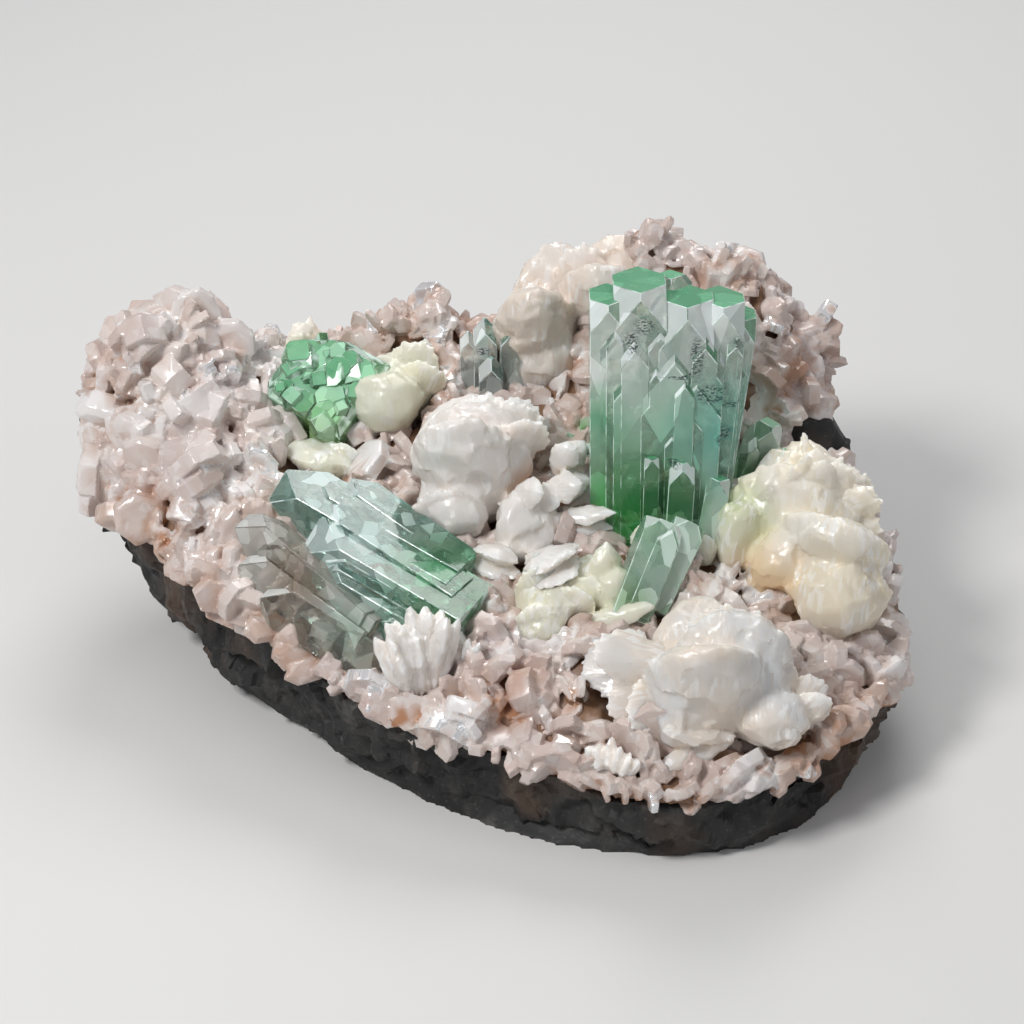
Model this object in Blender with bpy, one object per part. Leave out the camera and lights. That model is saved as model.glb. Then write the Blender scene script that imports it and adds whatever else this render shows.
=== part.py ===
# Green apophyllite on stilbite and heulandite druse, with its basalt matrix.
# Units are metres, +Z is up. The specimen stands on a flat sawn face at z = 0, and the origin is on that face.

import math
import random

import bmesh
import bpy
import numpy as np
from mathutils import Matrix, Vector, noise

# Driving dimensions
MM = 0.001
GAP = 0.3 * MM  # clearance between neighbouring solids
SEGMENTS = 36  # directions around the specimen at which the rock and the druse are shaped
EDGE_SHARE = 0.10  # share of the way in from the rim over which the druse rises to its plain height
HUB = (0 * MM, 6 * MM)  # plan centre that those directions start from
PYRAMID_ANGLE = 60.4  # degrees between an apophyllite pyramid face and the crystal's base
DRUSE_THICKNESS = 6.5 * MM
RIM_THICKNESS = 2.0 * MM
ROOT_FLOOR = 2.0 * MM  # how far above the rock the roots of the crystals end
DRUSE_BLADES = 85
BLADE_REACH = 0.97  # share of the way from the hub to the rim that blades grow on
COVER = 4.5  # how near to a large crystal's root no blade grows, in millimetres
SEED = 7

# Rim of the basalt, seen from above and going round from the right-hand tip: x, y and height, in millimetres
RIM = (
    (75, -7, 20), (73, 8, 26), (65, 20, 31), (61, 32, 43), (62, 44, 52), (53, 55, 50), (36, 59, 42), (18, 59, 37),
    (0, 58, 36), (-18, 57, 36), (-36, 55, 36), (-54, 54, 38), (-70, 50, 45), (-80, 39, 48), (-81, 27, 41),
    (-77, 16, 35), (-65, 8, 32), (-57, -3, 29), (-40, -16, 25), (-24, -30, 22), (-14, -36, 20), (4, -40, 18),
    (15, -47, 15), (32, -50, 14), (45, -46, 15), (60, -35, 17), (72, -20, 18),
)
# Outline of the flat face that it stands on: x and y, in millimetres
FOOT = (
    (66, -8), (63, 6), (56, 20), (47, 32), (34, 40), (16, 44), (-4, 44), (-24, 42), (-40, 36), (-52, 26), (-55, 12),
    (-48, -2), (-35, -13), (-20, -28), (-5, -38), (14, -46), (32, -48), (47, -45), (59, -36), (65, -22),
)
# Humps of the druse above its plain slope: centre x and y, spread in x and y, and rise, in millimetres
HUMPS = ((-68, 38, 15, 12, 19.5), (-19, 47, 9, 7, 15), (25, 49, 16, 10, 30), (54, 44, 11, 10, 19))
# Broken faces of the basalt: a point in millimetres and the outward direction that each face looks in
CHIPS = (
    ((8, -41, 8), (-0.35, -0.92, -0.15)),
    ((-29, -25, 9), (-0.62, -0.66, -0.42)),
    ((-58, -1, 14), (-0.72, -0.42, -0.56)),
    ((57, -38, 6), (0.55, -0.78, -0.30)),
    ((71, -12, 8), (0.88, -0.22, -0.42)),
    ((60, 34, 16), (0.74, 0.48, -0.46)),
    ((10, 52, 16), (0.10, 0.86, -0.50)),
    ((-46, 46, 16), (-0.40, 0.76, -0.52)),
)


def mm(*values):
    return Vector(values) * MM


# Crystal shapes: each is a block cut by flat faces, given as outward directions and distances from its own origin


def frame_on(root, axis, roll=0.0, facing=(1, 0, 0)):
    """Matrix at root whose Z runs along axis and whose X is as near to facing as that allows, then rolled about Z."""
    z = Vector(axis).normalized()
    y = z.cross(Vector(facing)).normalized()
    x = y.cross(z)
    turn = Matrix((x, y, z)).transposed().to_4x4()
    return Matrix.Translation(root) @ turn @ Matrix.Rotation(math.radians(roll), 4, "Z")


def add_block(target, matrix, faces, grow):
    """Adds to target a block cut by faces, each moved outwards by grow, and placed by matrix."""
    reach = 2 * max(distance for _, distance in faces) + grow
    block = bmesh.new()
    bmesh.ops.create_cube(block, size=2 * reach)
    for direction, distance in faces:
        normal = Vector(direction).normalized()
        everything = block.verts[:] + block.edges[:] + block.faces[:]
        cut = bmesh.ops.bisect_plane(
            block, geom=everything, plane_co=normal * (distance + grow), plane_no=normal, clear_outer=True
        )
        ring = [part for part in cut["geom_cut"] if isinstance(part, bmesh.types.BMEdge)]
        if len(ring) > 2:
            bmesh.ops.contextual_create(block, geom=ring)
    bmesh.ops.transform(block, matrix=matrix, verts=block.verts)
    bmesh.ops.recalc_face_normals(block, faces=block.faces)
    mesh = bpy.data.meshes.new("block")
    block.to_mesh(mesh)
    block.free()
    target.from_mesh(mesh)
    bpy.data.meshes.remove(mesh)


def apophyllite(root, axis, half_x, half_y, height, corner, roll=0.0, foot=2.0):
    """A square prism along axis with a flat top, whose four corners steep faces cut down by corner; all in mm."""
    steep = math.radians(PYRAMID_ANGLE)
    side = math.sin(steep) / math.sqrt(2)
    reach = side * (half_x + half_y) + math.cos(steep) * (height - corner)
    faces = [((1, 0, 0), half_x), ((-1, 0, 0), half_x), ((0, 1, 0), half_y), ((0, -1, 0), half_y)]
    faces += [((x * side, y * side, math.cos(steep)), reach) for x in (-1, 1) for y in (-1, 1)]
    faces += [((0, 0, 1), height), ((0, 0, -1), foot)]
    return frame_on(root, axis, roll), in_metres(faces)


def leaf(root, axis, normal, length, width, thickness, waist=0.6):
    """A stilbite leaf: a thin plate along axis, narrow at its root and cut to a blunt point at its far end; in mm."""
    half = width / 2
    lean = math.atan2(half * (1 - waist), 0.65 * length)
    faces = [((1, 0, 0), thickness / 2), ((-1, 0, 0), thickness / 2), ((0, 0, 1), length), ((0, 0, -1), 0.1 * length)]
    for side in (-1, 1):
        faces.append(((0, side * math.cos(lean), -math.sin(lean)), half * waist * math.cos(lean)))
        shoulder = Vector((0, side * 0.8, 0.6))
        faces.append((shoulder, shoulder.dot(Vector((0, side * half * 0.5, length)))))
    return frame_on(root, axis, facing=normal), in_metres(faces)


def sheaf(root, axis, normal, length, width, thickness, count, spread, seed):
    """Leaves side by side along normal, which share a root and spread out like a sheaf of straw; in mm."""
    draw = random.Random(seed)
    axis = Vector(axis).normalized()
    normal = (Vector(normal) - axis * axis.dot(Vector(normal))).normalized()
    hinge = axis.cross(normal)
    leaves = []
    for step in range(count):
        place = 2 * (step + 0.5) / count - 1
        turn = Matrix.Rotation(math.radians(spread * place), 3, hinge)
        twist = Matrix.Rotation(math.radians(draw.uniform(-9, 9)), 3, normal)
        reach = length * (1 - 0.16 * place * place) * draw.uniform(0.92, 1.05)
        start = root + normal * place * thickness * count * 0.28 * MM
        leaves.append(
            leaf(start, turn @ twist @ axis, turn @ normal, reach, width * draw.uniform(0.86, 1.08), thickness)
        )
    return leaves


def lump(centre, radii, axis=(0, 0, 1), facing=(1, 0, 0)):
    """A rounded body cut from a block by faces that look in twenty-six directions; flat radii make it a shell."""
    rx, ry, rz = radii
    faces = []
    for x in (-1, 0, 1):
        for y in (-1, 0, 1):
            for z in (-1, 0, 1):
                if x or y or z:
                    direction = Vector((x / rx, y / ry, z / rz)).normalized()
                    span = Vector((direction.x * rx, direction.y * ry, direction.z * rz)).length
                    faces.append((direction, span))
    return frame_on(centre, axis, facing=facing), in_metres(faces)


def in_metres(faces):
    return [(direction, distance * MM) for direction, distance in faces]


# The specimen's crystals, group by group, with all their sizes and places in millimetres


def main_crystals():
    base = Vector((29.5, 10, 34))
    up = Vector((-0.01, 0.20, 0.98))
    group = []
    for x, y, half_x, half_y, height, corner, lean in (
        (1.0, 4.5, 12.0, 7.5, 36.0, 9, 0.00),
        (-9.8, 1.0, 3.3, 7.0, 42.5, 5, 0.00),
        (-4.0, 2.5, 4.8, 8.5, 44.5, 7, 0.00),
        (3.6, 1.5, 5.0, 8.5, 42.0, 8, 0.02),
        (8.6, 3.0, 4.2, 7.0, 41.0, 6, 0.06),
        (9.6, 3.5, 3.0, 5.5, 38.0, 4, 0.13),
        (-3.5, -4.5, 5.4, 3.6, 35.0, 9, 0.00),
        (5.0, -4.8, 4.8, 3.6, 31.0, 8, 0.04),
        (-2.2, -9.0, 1.4, 1.4, 16.5, 2, 0.02),
        (3.0, -8.6, 2.4, 2.2, 15.5, 4, 0.05),
        (8.6, -8.0, 2.2, 2.2, 12.0, 3, 0.16),
    ):
        root = (base + Vector((x, y, 0))) * MM
        group.append(apophyllite(root, up + Vector((lean, 0, 0)), half_x, half_y, height, corner))
    return group


def front_crystals():
    axis = Vector((7, 13, 13))
    return [
        apophyllite(mm(23.5, -15, 30), axis, 3.6, 3.2, 17, 3, 12),
        apophyllite(mm(27.5, -12, 30), axis + Vector((2, 0, 0)), 3.0, 3.0, 15.5, 2.5, 12),
    ]


def squat_crystals():
    """A thick crystal that points at the viewer, with bevels along its sides and a top of small steps."""
    up = Vector((0.02, -0.56, 0.83))
    root = mm(-34.2, 33.5, 42.5)
    half, height, bevel = 8.8, 11.0, 1.9
    sides = [(1, 0), (-1, 0), (0, 1), (0, -1)]
    faces = [((x, y, 0), half) for x, y in sides]
    faces += [((x, y, 1), (half + height - bevel) / math.sqrt(2)) for x, y in sides]
    faces += [((1, 1, 0), half * 1.12), ((0, 0, 1), height), ((0, 0, -1), 3)]
    group = [(frame_on(root, up, 44), in_metres(faces))]
    for x, y, half, rise in ((-2.6, -1.8, 3.6, 12.0), (2.4, 1.6, 3.9, 12.6), (2.6, -3.0, 3.0, 11.8), (-2.0, 3.6, 3.2, 12.9)):
        step = frame_on(root, up, 44) @ mm(x, y, 0)
        group.append(apophyllite(step, up, half, half, rise, 2.0, 44))
    return group


def reclined_crystals():
    along = Vector((-34, 21, 9))
    return [
        apophyllite(mm(-7.0, -17.5, 30.0), along, 6.0, 5.2, 32, 8, 20),
        apophyllite(mm(-9.5, -10.5, 33.0), along + Vector((-2, 1, 0)), 5.2, 4.2, 37, 6, 20),
        apophyllite(mm(-10.5, -21.5, 28.0), along, 4.2, 3.8, 26, 6, 20),
        apophyllite(mm(-8.0, -7.5, 35.5), along + Vector((3, 3, 0)), 3.0, 2.0, 26, 4, 20),
    ]


def clear_plates():
    along = Vector((-21, 19, 8))
    return [
        apophyllite(mm(-26, -18, 29), along, 2.6, 4.8, 30, 6, 35),
        apophyllite(mm(-27, -21.5, 27), along + Vector((-4, 0, 0)), 2.0, 4.2, 26, 5, 50),
        apophyllite(mm(-23, -24.5, 25), along + Vector((-6, -3, 0)), 2.2, 3.8, 24, 5, 60),
    ]


def row_crystals():
    group = []
    for x, y, half, height in ((3.0, 36.5, 3.4, 19.0), (-3.2, 36.5, 2.2, 15.5), (-6.4, 36.8, 1.6, 12.5)):
        group.append(apophyllite(mm(x, y, 44.5), (0.0, 0.04, 1), half, half, height, 2.3 * half, 4))
    group.append(apophyllite(mm(-2.2, 33.2, 44), (0.02, 0.0, 1), 2.3, 2.0, 9.5, 4.5, 4))
    return group


def side_crystals():
    return [
        apophyllite(mm(46, 17.5, 35), (0.30, 0.1, 0.94), 2.8, 2.6, 14, 4, 10),
        apophyllite(mm(48.5, 15, 34), (0.40, -0.1, 0.9), 1.9, 1.9, 12, 3, 35),
    ]


def back_stilbite():
    return (
        [lump(mm(8, 42, 54.5), (9.4, 6, 16)), lump(mm(20, 45, 60), (8.5, 6, 12))]
        + sheaf(mm(6, 42, 44), (-0.05, 0.02, 1), (0.25, -1, 0.2), 23, 14, 3.6, 3, 10, 11)
        + sheaf(mm(20, 46, 50), (0.05, 0.0, 1), (-0.2, -1, 0.1), 21, 16, 3.4, 3, 12, 13)
    )


def left_back_stilbite():
    return sheaf(mm(-38, 43, 41), (0.05, 0.0, 1), (0.2, -1, 0.3), 16, 9, 2.8, 3, 12, 21)


def behind_squat_stilbite():
    return (
        [lump(mm(-21.5, 31, 46), (7.5, 5, 8))]
        + sheaf(mm(-18, 35, 42), (0.30, 0.1, 1), (0.1, -0.9, 0.4), 14, 15, 3.0, 3, 14, 22)
    )


def under_squat_stilbite():
    return [lump(mm(-34, 20, 39.5), (8, 4, 2.6), (0.1, -0.5, 1))]


def central_stilbite():
    return (
        [
            lump(mm(-6.5, 12, 44.5), (11, 7.5, 13), (-0.1, 0.25, 1)),
            lump(mm(-9.5, 4.5, 39), (6, 5, 5.5), (0, -0.3, 1)),
            lump(mm(3.5, 3, 38.5), (8.5, 5, 3.6), (0.1, -0.3, 1)),
            lump(mm(5.5, -3, 33.5), (9, 5, 4), (0, -0.3, 1)),
        ]
        + sheaf(mm(3, 14, 42), (0.35, 0.1, 1), (0.30, -1, 0.5), 15, 11, 2.6, 3, 16, 32)
        + sheaf(mm(8, 6, 40), (0.9, -0.1, 0.2), (0.1, -0.6, 1), 11, 6, 2.4, 2, 16, 34)
        + [leaf(mm(9, 3, 37.5), (0.97, -0.1, 0.05), (0, -0.5, 1), 14, 5, 2.2)]
    )


def plate_stilbite():
    return (
        [lump(mm(10.5, -11.5, 30.5), (6.5, 5, 4.5), (0, -0.2, 1)), lump(mm(7, -16, 27.5), (5, 4, 3))]
        + [
            leaf(mm(18.5, -11, 28), (0.1, 0.25, 1), (0.3, -1, 0.2), 13, 8, 3.0),
            leaf(mm(15, -17, 28.5), (1, -0.05, 0.1), (0, -0.5, 1), 15, 6, 3.0, 0.9),
        ]
    )


def left_leaf():
    return [leaf(mm(25.5, -1, 32), (0.1, 0.1, 1), (0.2, -1, 0.2), 7, 6, 2.4)]


def right_leaf():
    return [leaf(mm(37, -3, 31), (0.0, 0.1, 1), (-0.2, -1, 0.2), 7, 6, 2.4)]


def right_stilbite():
    domes = [
        lump(mm(56.5, 0, 36), (12.5, 9.5, 14), (0.12, 0.12, 1)),
        lump(mm(62.5, -11.5, 30), (9.5, 7.5, 7.5), (0.2, 0, 1)),
        lump(mm(46.5, 2, 35), (6, 5, 8), (-0.1, 0, 1)),
    ]
    crown = []
    for angle, reach in ((-8, 18.5), (14, 17.5), (34, 16.5), (54, 15.5), (74, 15.0)):
        turn = math.radians(angle)
        out = Vector((math.sin(turn), 0.15, math.cos(turn)))
        crown.append(leaf(mm(56, 3.5, 35), out, (0, 1, 0.1), reach, 10, 4.5, 0.5))
    return domes + crown


def lower_right_stilbite():
    domes = [
        lump(mm(38.5, -32, 28), (11.5, 9, 12.5), (0, 0.25, 1)),
        lump(mm(25.5, -33, 25.5), (10, 7.5, 6.5), (0.25, -0.1, 1)),
        lump(mm(46.5, -37, 23), (7.5, 6, 6.5), (-0.1, 0, 1)),
    ]
    return domes + [
        leaf(mm(28, -30, 27), (-0.95, 0.15, 0.0), (-0.1, -0.6, 1), 16, 12, 3.2),
        leaf(mm(40, -41, 21.5), (-0.95, -0.3, 0.05), (0, -0.6, 1), 15, 5, 3.0, 0.9),
    ]


def white_sheaf():
    return sheaf(mm(-14, -30.5, 22.5), (-0.10, 0.22, 1), (1, -0.35, 0.1), 16, 8, 2.6, 4, 20, 71)


def small_sheaf():
    return sheaf(mm(-7, -25, 23.5), (0.05, 0.1, 1), (1, -0.5, 0), 7.5, 4.5, 2.0, 2, 16, 72)


def pearly_ball():
    return sheaf(mm(19.5, -44.5, 16.5), (0.0, -0.2, 1), (1, -0.3, 0), 7.5, 6, 2.6, 3, 30, 73)


# The rock and its druse, as heights over the plan


def plain_height(x, y):
    """Height of the druse at a point of the plan, with everything in millimetres."""
    z = 33 + 0.30 * y - 0.02 * max(0.0, y - 30) ** 2 - 8 * (max(0.0, x - 30) / 46) ** 2
    for centre_x, centre_y, spread_x, spread_y, rise in HUMPS:
        z += rise * math.exp(-(((x - centre_x) / spread_x) ** 2 + ((y - centre_y) / spread_y) ** 2) / 2)
    return z


def around(outline, angle, column):
    """Value of one column of an outline in the direction angle from the hub; column None gives the distance."""
    hub_x, hub_y = HUB[0] / MM, HUB[1] / MM
    angles = [math.atan2(row[1] - hub_y, row[0] - hub_x) for row in outline]
    if column is None:
        values = [math.hypot(row[0] - hub_x, row[1] - hub_y) for row in outline]
    else:
        values = [row[column] for row in outline]
    return float(np.interp(angle, angles, values, period=2 * math.pi))


def plan_point(outline, angle, share):
    reach = share * around(outline, angle, None)
    return HUB[0] / MM + reach * math.cos(angle), HUB[1] / MM + reach * math.sin(angle)


def roughness(x, y, z, size, height):
    return height * noise.noise(Vector((x, y, z)) / size)


def directions():
    return [2 * math.pi * step / SEGMENTS for step in range(SEGMENTS)]


def ring_heights(share, thickness, bump):
    """One ring of points of a surface that lies under the druse's top by thickness and meets the rim outside."""
    points = []
    for angle in directions():
        x, y = plan_point(RIM, angle, share)
        inner = plain_height(x, y) + roughness(x, y, 0, 9, bump)
        outer = around(RIM, angle, 2)
        blend = min(1.0, (1 - share) / EDGE_SHARE)
        points.append((x, y, outer + (inner - outer) * blend - thickness))
    return points


def bed_rings():
    """The surface where rock and druse meet, from the rim inwards."""
    rim = RIM_THICKNESS / MM
    full = DRUSE_THICKNESS / MM
    return [ring_heights(share, thickness, 0) for share, thickness in (
        (1.0, rim), (0.95, 0.6 * full), (0.87, full), (0.70, full), (0.50, full), (0.28, full),
    )]


def skin(target, rings, cap_height, upwards):
    """Joins rings of points into triangles, closes the last ring with a middle point, and returns the first ring."""
    rows = [[target.verts.new(mm(*point)) for point in ring] for ring in rings]
    count = len(rows[0])
    for outer, inner in zip(rows, rows[1:]):
        for here in range(count):
            there = (here + 1) % count
            add_triangle(target, (outer[here], outer[there], inner[there]), upwards)
            add_triangle(target, (outer[here], inner[there], inner[here]), upwards)
    middle = target.verts.new(Vector((HUB[0], HUB[1], cap_height)))
    for here in range(count):
        add_triangle(target, (rows[-1][here], rows[-1][(here + 1) % count], middle), upwards)
    return rows[0]


def add_triangle(target, corners, upwards):
    target.faces.new(corners if upwards else corners[::-1])


def band(target, lower, upper):
    """Closes the wall between two rings of vertices."""
    count = len(lower)
    for here in range(count):
        there = (here + 1) % count
        add_triangle(target, (lower[here], lower[there], upper[there]), True)
        add_triangle(target, (lower[here], upper[there], upper[here]), True)


def basalt_side(rise):
    """One ring of the rock's side, at a share of the way from the foot up to the rim."""
    points = []
    for angle in directions():
        foot_x, foot_y = plan_point(FOOT, angle, 1)
        rim_x, rim_y = plan_point(RIM, angle, 0.985)
        top = around(RIM, angle, 2) - RIM_THICKNESS / MM - 0.6
        out = math.sin(rise * math.pi / 2) ** 1.05
        x = foot_x + (rim_x - foot_x) * out
        y = foot_y + (rim_y - foot_y) * out
        z = top * (1 - math.cos(rise * math.pi / 2)) ** 0.8
        push = roughness(x, y, z, 17, 2.4) * math.sin(rise * math.pi)
        points.append((x + push * math.cos(angle), y + push * math.sin(angle), z))
    return points


def chip(points):
    """Moves each point that lies outside a broken face back onto it."""
    chipped = []
    for x, y, z in points:
        place = Vector((x, y, z))
        for on_face, outward in CHIPS:
            normal = Vector(outward).normalized()
            past = (place - Vector(on_face)).dot(normal)
            if past > 0 and z > 0:
                place -= normal * past * 0.75
        chipped.append((place.x, place.y, max(place.z, 0.4)))
    return chipped


def make_basalt():
    rock = bmesh.new()
    edge = skin(rock, bed_rings(), (plain_height(0, 6) - DRUSE_THICKNESS / MM) * MM, True)
    foot = [rock.verts.new(mm(x, y, 0)) for x, y in (plan_point(FOOT, angle, 1) for angle in directions())]
    lower = foot
    for rise in (0.25, 0.5, 0.75):
        upper = [rock.verts.new(mm(*point)) for point in chip(basalt_side(rise))]
        band(rock, lower, upper)
        lower = upper
    band(rock, lower, edge)
    rock.faces.new(foot[::-1])
    return solid_from("basalt_matrix", rock)


def below_bed(lift):
    """A block that fills everything below the rock's top, raised by lift: it trims what stands on the rock."""
    room = bmesh.new()
    top = [[(x, y, z + lift / MM) for x, y, z in ring] for ring in bed_rings()]
    flare = [((x - HUB[0] / MM) * 1.3, (y - HUB[1] / MM) * 1.3 + HUB[1] / MM, z - 3) for x, y, z in top[0]]
    edge = skin(room, [flare] + top, (plain_height(0, 6) - DRUSE_THICKNESS / MM) * MM + lift, True)
    floor = [room.verts.new(Vector((vertex.co.x, vertex.co.y, -10 * MM))) for vertex in edge]
    band(room, floor, edge)
    room.faces.new(floor[::-1])
    return solid_from("room", room)


def make_druse_bed():
    bed = bmesh.new()
    gap = GAP / MM
    under = [[(x, y, z + gap) for x, y, z in ring] for ring in bed_rings()]
    low = skin(bed, under, (plain_height(0, 6) - DRUSE_THICKNESS / MM) * MM + GAP, False)
    over = [ring_heights(share, drop, 3.0) for share, drop in (
        (1.0, -1.2), (0.95, 0.2), (0.87, 0), (0.77, 0), (0.65, 0), (0.50, 0), (0.28, 0),
    )]
    high = skin(bed, over, plain_height(0, 6) * MM, True)
    band(bed, low, high)
    return solid_from("druse_crust", bed)


def druse_normal(x, y):
    step = 0.5
    slope_x = (plain_height(x + step, y) - plain_height(x - step, y)) / (2 * step)
    slope_y = (plain_height(x, y + step) - plain_height(x, y - step)) / (2 * step)
    return Vector((-slope_x, -slope_y, 1)).normalized()


def druse_blades(covered):
    """Heulandite and stilbite blades over the whole top, in a spiral of even spacing, apart from under crystals."""
    draw = random.Random(SEED)
    blades = []
    for step in range(DRUSE_BLADES):
        share = math.sqrt((step + 0.5) / DRUSE_BLADES)
        angle = step * math.pi * (3 - math.sqrt(5))
        x, y = plan_point(RIM, angle, BLADE_REACH * share)
        width, thick, stand = draw.uniform(2.2, 3.4), draw.uniform(0.9, 1.5), draw.uniform(1.9, 3.6)
        lean = Vector((draw.uniform(-1, 1), draw.uniform(-1, 1), draw.uniform(-0.3, 0.6)))
        roll = draw.uniform(0, 180)
        if any(math.hypot(x - centre_x, y - centre_y) < COVER for centre_x, centre_y in covered):
            continue
        outward = Vector((math.cos(angle), math.sin(angle), 0)) * max(0.0, share - 0.85) * 3
        axis = druse_normal(x, y) + 0.6 * lean + outward
        faces = [((1, 0, 0), thick), ((-1, 0, 0), thick), ((0, 1, 0), width), ((0, -1, 0), width), ((0, 0, -1), 2.2)]
        faces += [((0, 0.75, 0.66), stand * 0.66 + 0.25 * width), ((0, -0.6, 0.8), stand * 0.8)]
        blades.append((frame_on(mm(x, y, ring_top(x, y, angle, share)), axis, roll), in_metres(faces)))
    return blades


def ring_top(x, y, angle, share):
    """Height of the druse's plain top, which falls to the rim at its edge."""
    blend = min(1.0, (1 - BLADE_REACH * share) / EDGE_SHARE)
    outer = around(RIM, angle, 2)
    return outer + (plain_height(x, y) - outer) * blend - 0.4


# Joining and parting solids


def solid_from(name, shape):
    bmesh.ops.recalc_face_normals(shape, faces=shape.faces)
    bmesh.ops.triangulate(shape, faces=[face for face in shape.faces if len(face.verts) > 3])
    mesh = bpy.data.meshes.new(name)
    shape.to_mesh(mesh)
    shape.free()
    piece = bpy.data.objects.new(name, mesh)
    bpy.context.scene.collection.objects.link(piece)
    return piece


def blocks(name, crystals, grow=0.0):
    shape = bmesh.new()
    for matrix, faces in crystals:
        add_block(shape, matrix, faces, grow)
    return solid_from(name, shape)


def boolean(piece, other, operation, overlapping=True):
    """Joins other to piece or takes it out; overlapping says that the blocks of other cross each other."""
    step = piece.modifiers.new("join", "BOOLEAN")
    step.operation = operation
    step.object = other
    step.solver = "EXACT"
    step.use_self = overlapping
    graph = bpy.context.evaluated_depsgraph_get()
    mesh = bpy.data.meshes.new_from_object(piece.evaluated_get(graph))
    piece.modifiers.clear()
    old = piece.data
    piece.data = mesh
    bpy.data.meshes.remove(old)


def drop(piece):
    mesh = piece.data
    bpy.data.objects.remove(piece)
    bpy.data.meshes.remove(mesh)


def joined(name, crystals, grow=0.0):
    """One solid of crystals that grew into each other."""
    piece = blocks(name, crystals[:1], grow)
    if len(crystals) > 1:
        others = blocks("others", crystals[1:], grow)
        boolean(piece, others, "UNION")
        drop(others)
    return piece


def box_of(piece):
    points = np.array([vertex.co for vertex in piece.data.vertices])
    return points.min(axis=0), points.max(axis=0)


def part_from(piece, rooms):
    """Takes the rooms of neighbouring pieces out of piece, where they reach it."""
    for room in rooms:
        low, high = box_of(piece)
        room_low, room_high = box_of(room)
        if (low < room_high).all() and (room_low < high).all():
            boolean(piece, room, "DIFFERENCE", False)


def tidy(piece):
    """Welds stray points, removes slivers and keeps the largest body, which is the piece itself."""
    shape = bmesh.new()
    shape.from_mesh(piece.data)
    bmesh.ops.remove_doubles(shape, verts=shape.verts, dist=0.002 * MM)
    bmesh.ops.dissolve_degenerate(shape, edges=shape.edges, dist=0.002 * MM)
    bmesh.ops.dissolve_limit(shape, angle_limit=math.radians(0.3), verts=shape.verts, edges=shape.edges)
    bmesh.ops.triangulate(shape, faces=shape.faces)
    left = set(shape.faces)
    bodies = []
    while left:
        body = {left.pop()}
        front = list(body)
        while front:
            for edge in front.pop().edges:
                for face in edge.link_faces:
                    if face in left:
                        left.remove(face)
                        body.add(face)
                        front.append(face)
        bodies.append(body)
    largest = max(bodies, key=lambda body: sum(face.calc_area() for face in body))
    bmesh.ops.delete(shape, geom=[face for body in bodies if body is not largest for face in body], context="FACES")
    shape.to_mesh(piece.data)
    shape.free()


def paint(piece, name, colour, roughness_value, transmission=0.0):
    finish = bpy.data.materials.new(name)
    finish.use_nodes = True
    shader = finish.node_tree.nodes["Principled BSDF"]
    shader.inputs["Base Color"].default_value = (*colour, 1)
    shader.inputs["Roughness"].default_value = roughness_value
    shader.inputs["Metallic"].default_value = 0
    shader.inputs["Transmission Weight"].default_value = transmission
    shader.inputs["IOR"].default_value = 1.54
    finish.diffuse_color = (*colour, 1)
    piece.data.materials.clear()
    piece.data.materials.append(finish)


def main():
    for leftover in list(bpy.data.objects):
        bpy.data.objects.remove(leftover)
    green, stilbite = (0.30, 0.56, 0.38), (0.78, 0.70, 0.58)
    # Each piece gives way to those before it in this list
    grown = (
        ("apophyllite_main", main_crystals(), (0.33, 0.60, 0.45), 0.9),
        ("apophyllite_squat", squat_crystals(), green, 0.8),
        ("apophyllite_reclined", reclined_crystals(), (0.36, 0.58, 0.50), 0.9),
        ("apophyllite_row", row_crystals(), (0.50, 0.66, 0.62), 0.95),
        ("apophyllite_front", front_crystals(), green, 0.9),
        ("apophyllite_side", side_crystals(), green, 0.9),
        ("apophyllite_plates", clear_plates(), (0.62, 0.66, 0.60), 0.95),
        ("stilbite_white_sheaf", white_sheaf(), (0.84, 0.81, 0.72), 0),
        ("stilbite_small_sheaf", small_sheaf(), (0.84, 0.80, 0.72), 0),
        ("stilbite_right", right_stilbite(), stilbite, 0),
        ("stilbite_lower_right", lower_right_stilbite(), (0.80, 0.70, 0.62), 0),
        ("stilbite_pearly_ball", pearly_ball(), (0.80, 0.78, 0.76), 0),
        ("stilbite_central", central_stilbite(), (0.84, 0.76, 0.68), 0),
        ("stilbite_plates", plate_stilbite(), (0.72, 0.74, 0.58), 0),
        ("stilbite_leaf_left", left_leaf(), (0.72, 0.74, 0.58), 0),
        ("stilbite_leaf_right", right_leaf(), (0.72, 0.74, 0.58), 0),
        ("stilbite_behind_squat", behind_squat_stilbite(), (0.74, 0.73, 0.58), 0),
        ("stilbite_under_squat", under_squat_stilbite(), (0.76, 0.74, 0.64), 0),
        ("stilbite_left_back", left_back_stilbite(), stilbite, 0),
        ("stilbite_back", back_stilbite(), (0.82, 0.70, 0.56), 0),
    )
    floor = below_bed(ROOT_FLOOR)
    rooms = []
    covered = []
    for name, crystals, colour, transmission in grown:
        piece = joined(name, crystals)
        part_from(piece, [floor] + rooms)
        tidy(piece)
        paint(piece, name, colour, 0.1 if transmission else 0.45, transmission)
        rooms.append(joined("room", crystals, GAP))
        covered += [(matrix.translation.x / MM, matrix.translation.y / MM) for matrix, _ in crystals]
    knob = [lump(mm(58, 29, 35), (7.5, 6.5, 9), (0.2, 0, 1))]
    basalt = make_basalt()
    stone = blocks("knob", knob)
    boolean(basalt, stone, "UNION")
    tidy(basalt)
    paint(basalt, "basalt", (0.035, 0.034, 0.032), 0.75)
    crust = make_druse_bed()
    blades = blocks("blades", druse_blades(covered))
    under = below_bed(GAP + 0.2 * MM)
    boolean(blades, under, "DIFFERENCE")
    boolean(crust, blades, "UNION")
    rooms.append(blocks("room", knob, GAP))
    part_from(crust, rooms)
    tidy(crust)
    paint(crust, "druse", (0.62, 0.48, 0.43), 0.5)
    for helper in rooms + [floor, stone, blades, under]:
        drop(helper)


main()
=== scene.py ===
import itertools
import math
import random

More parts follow.
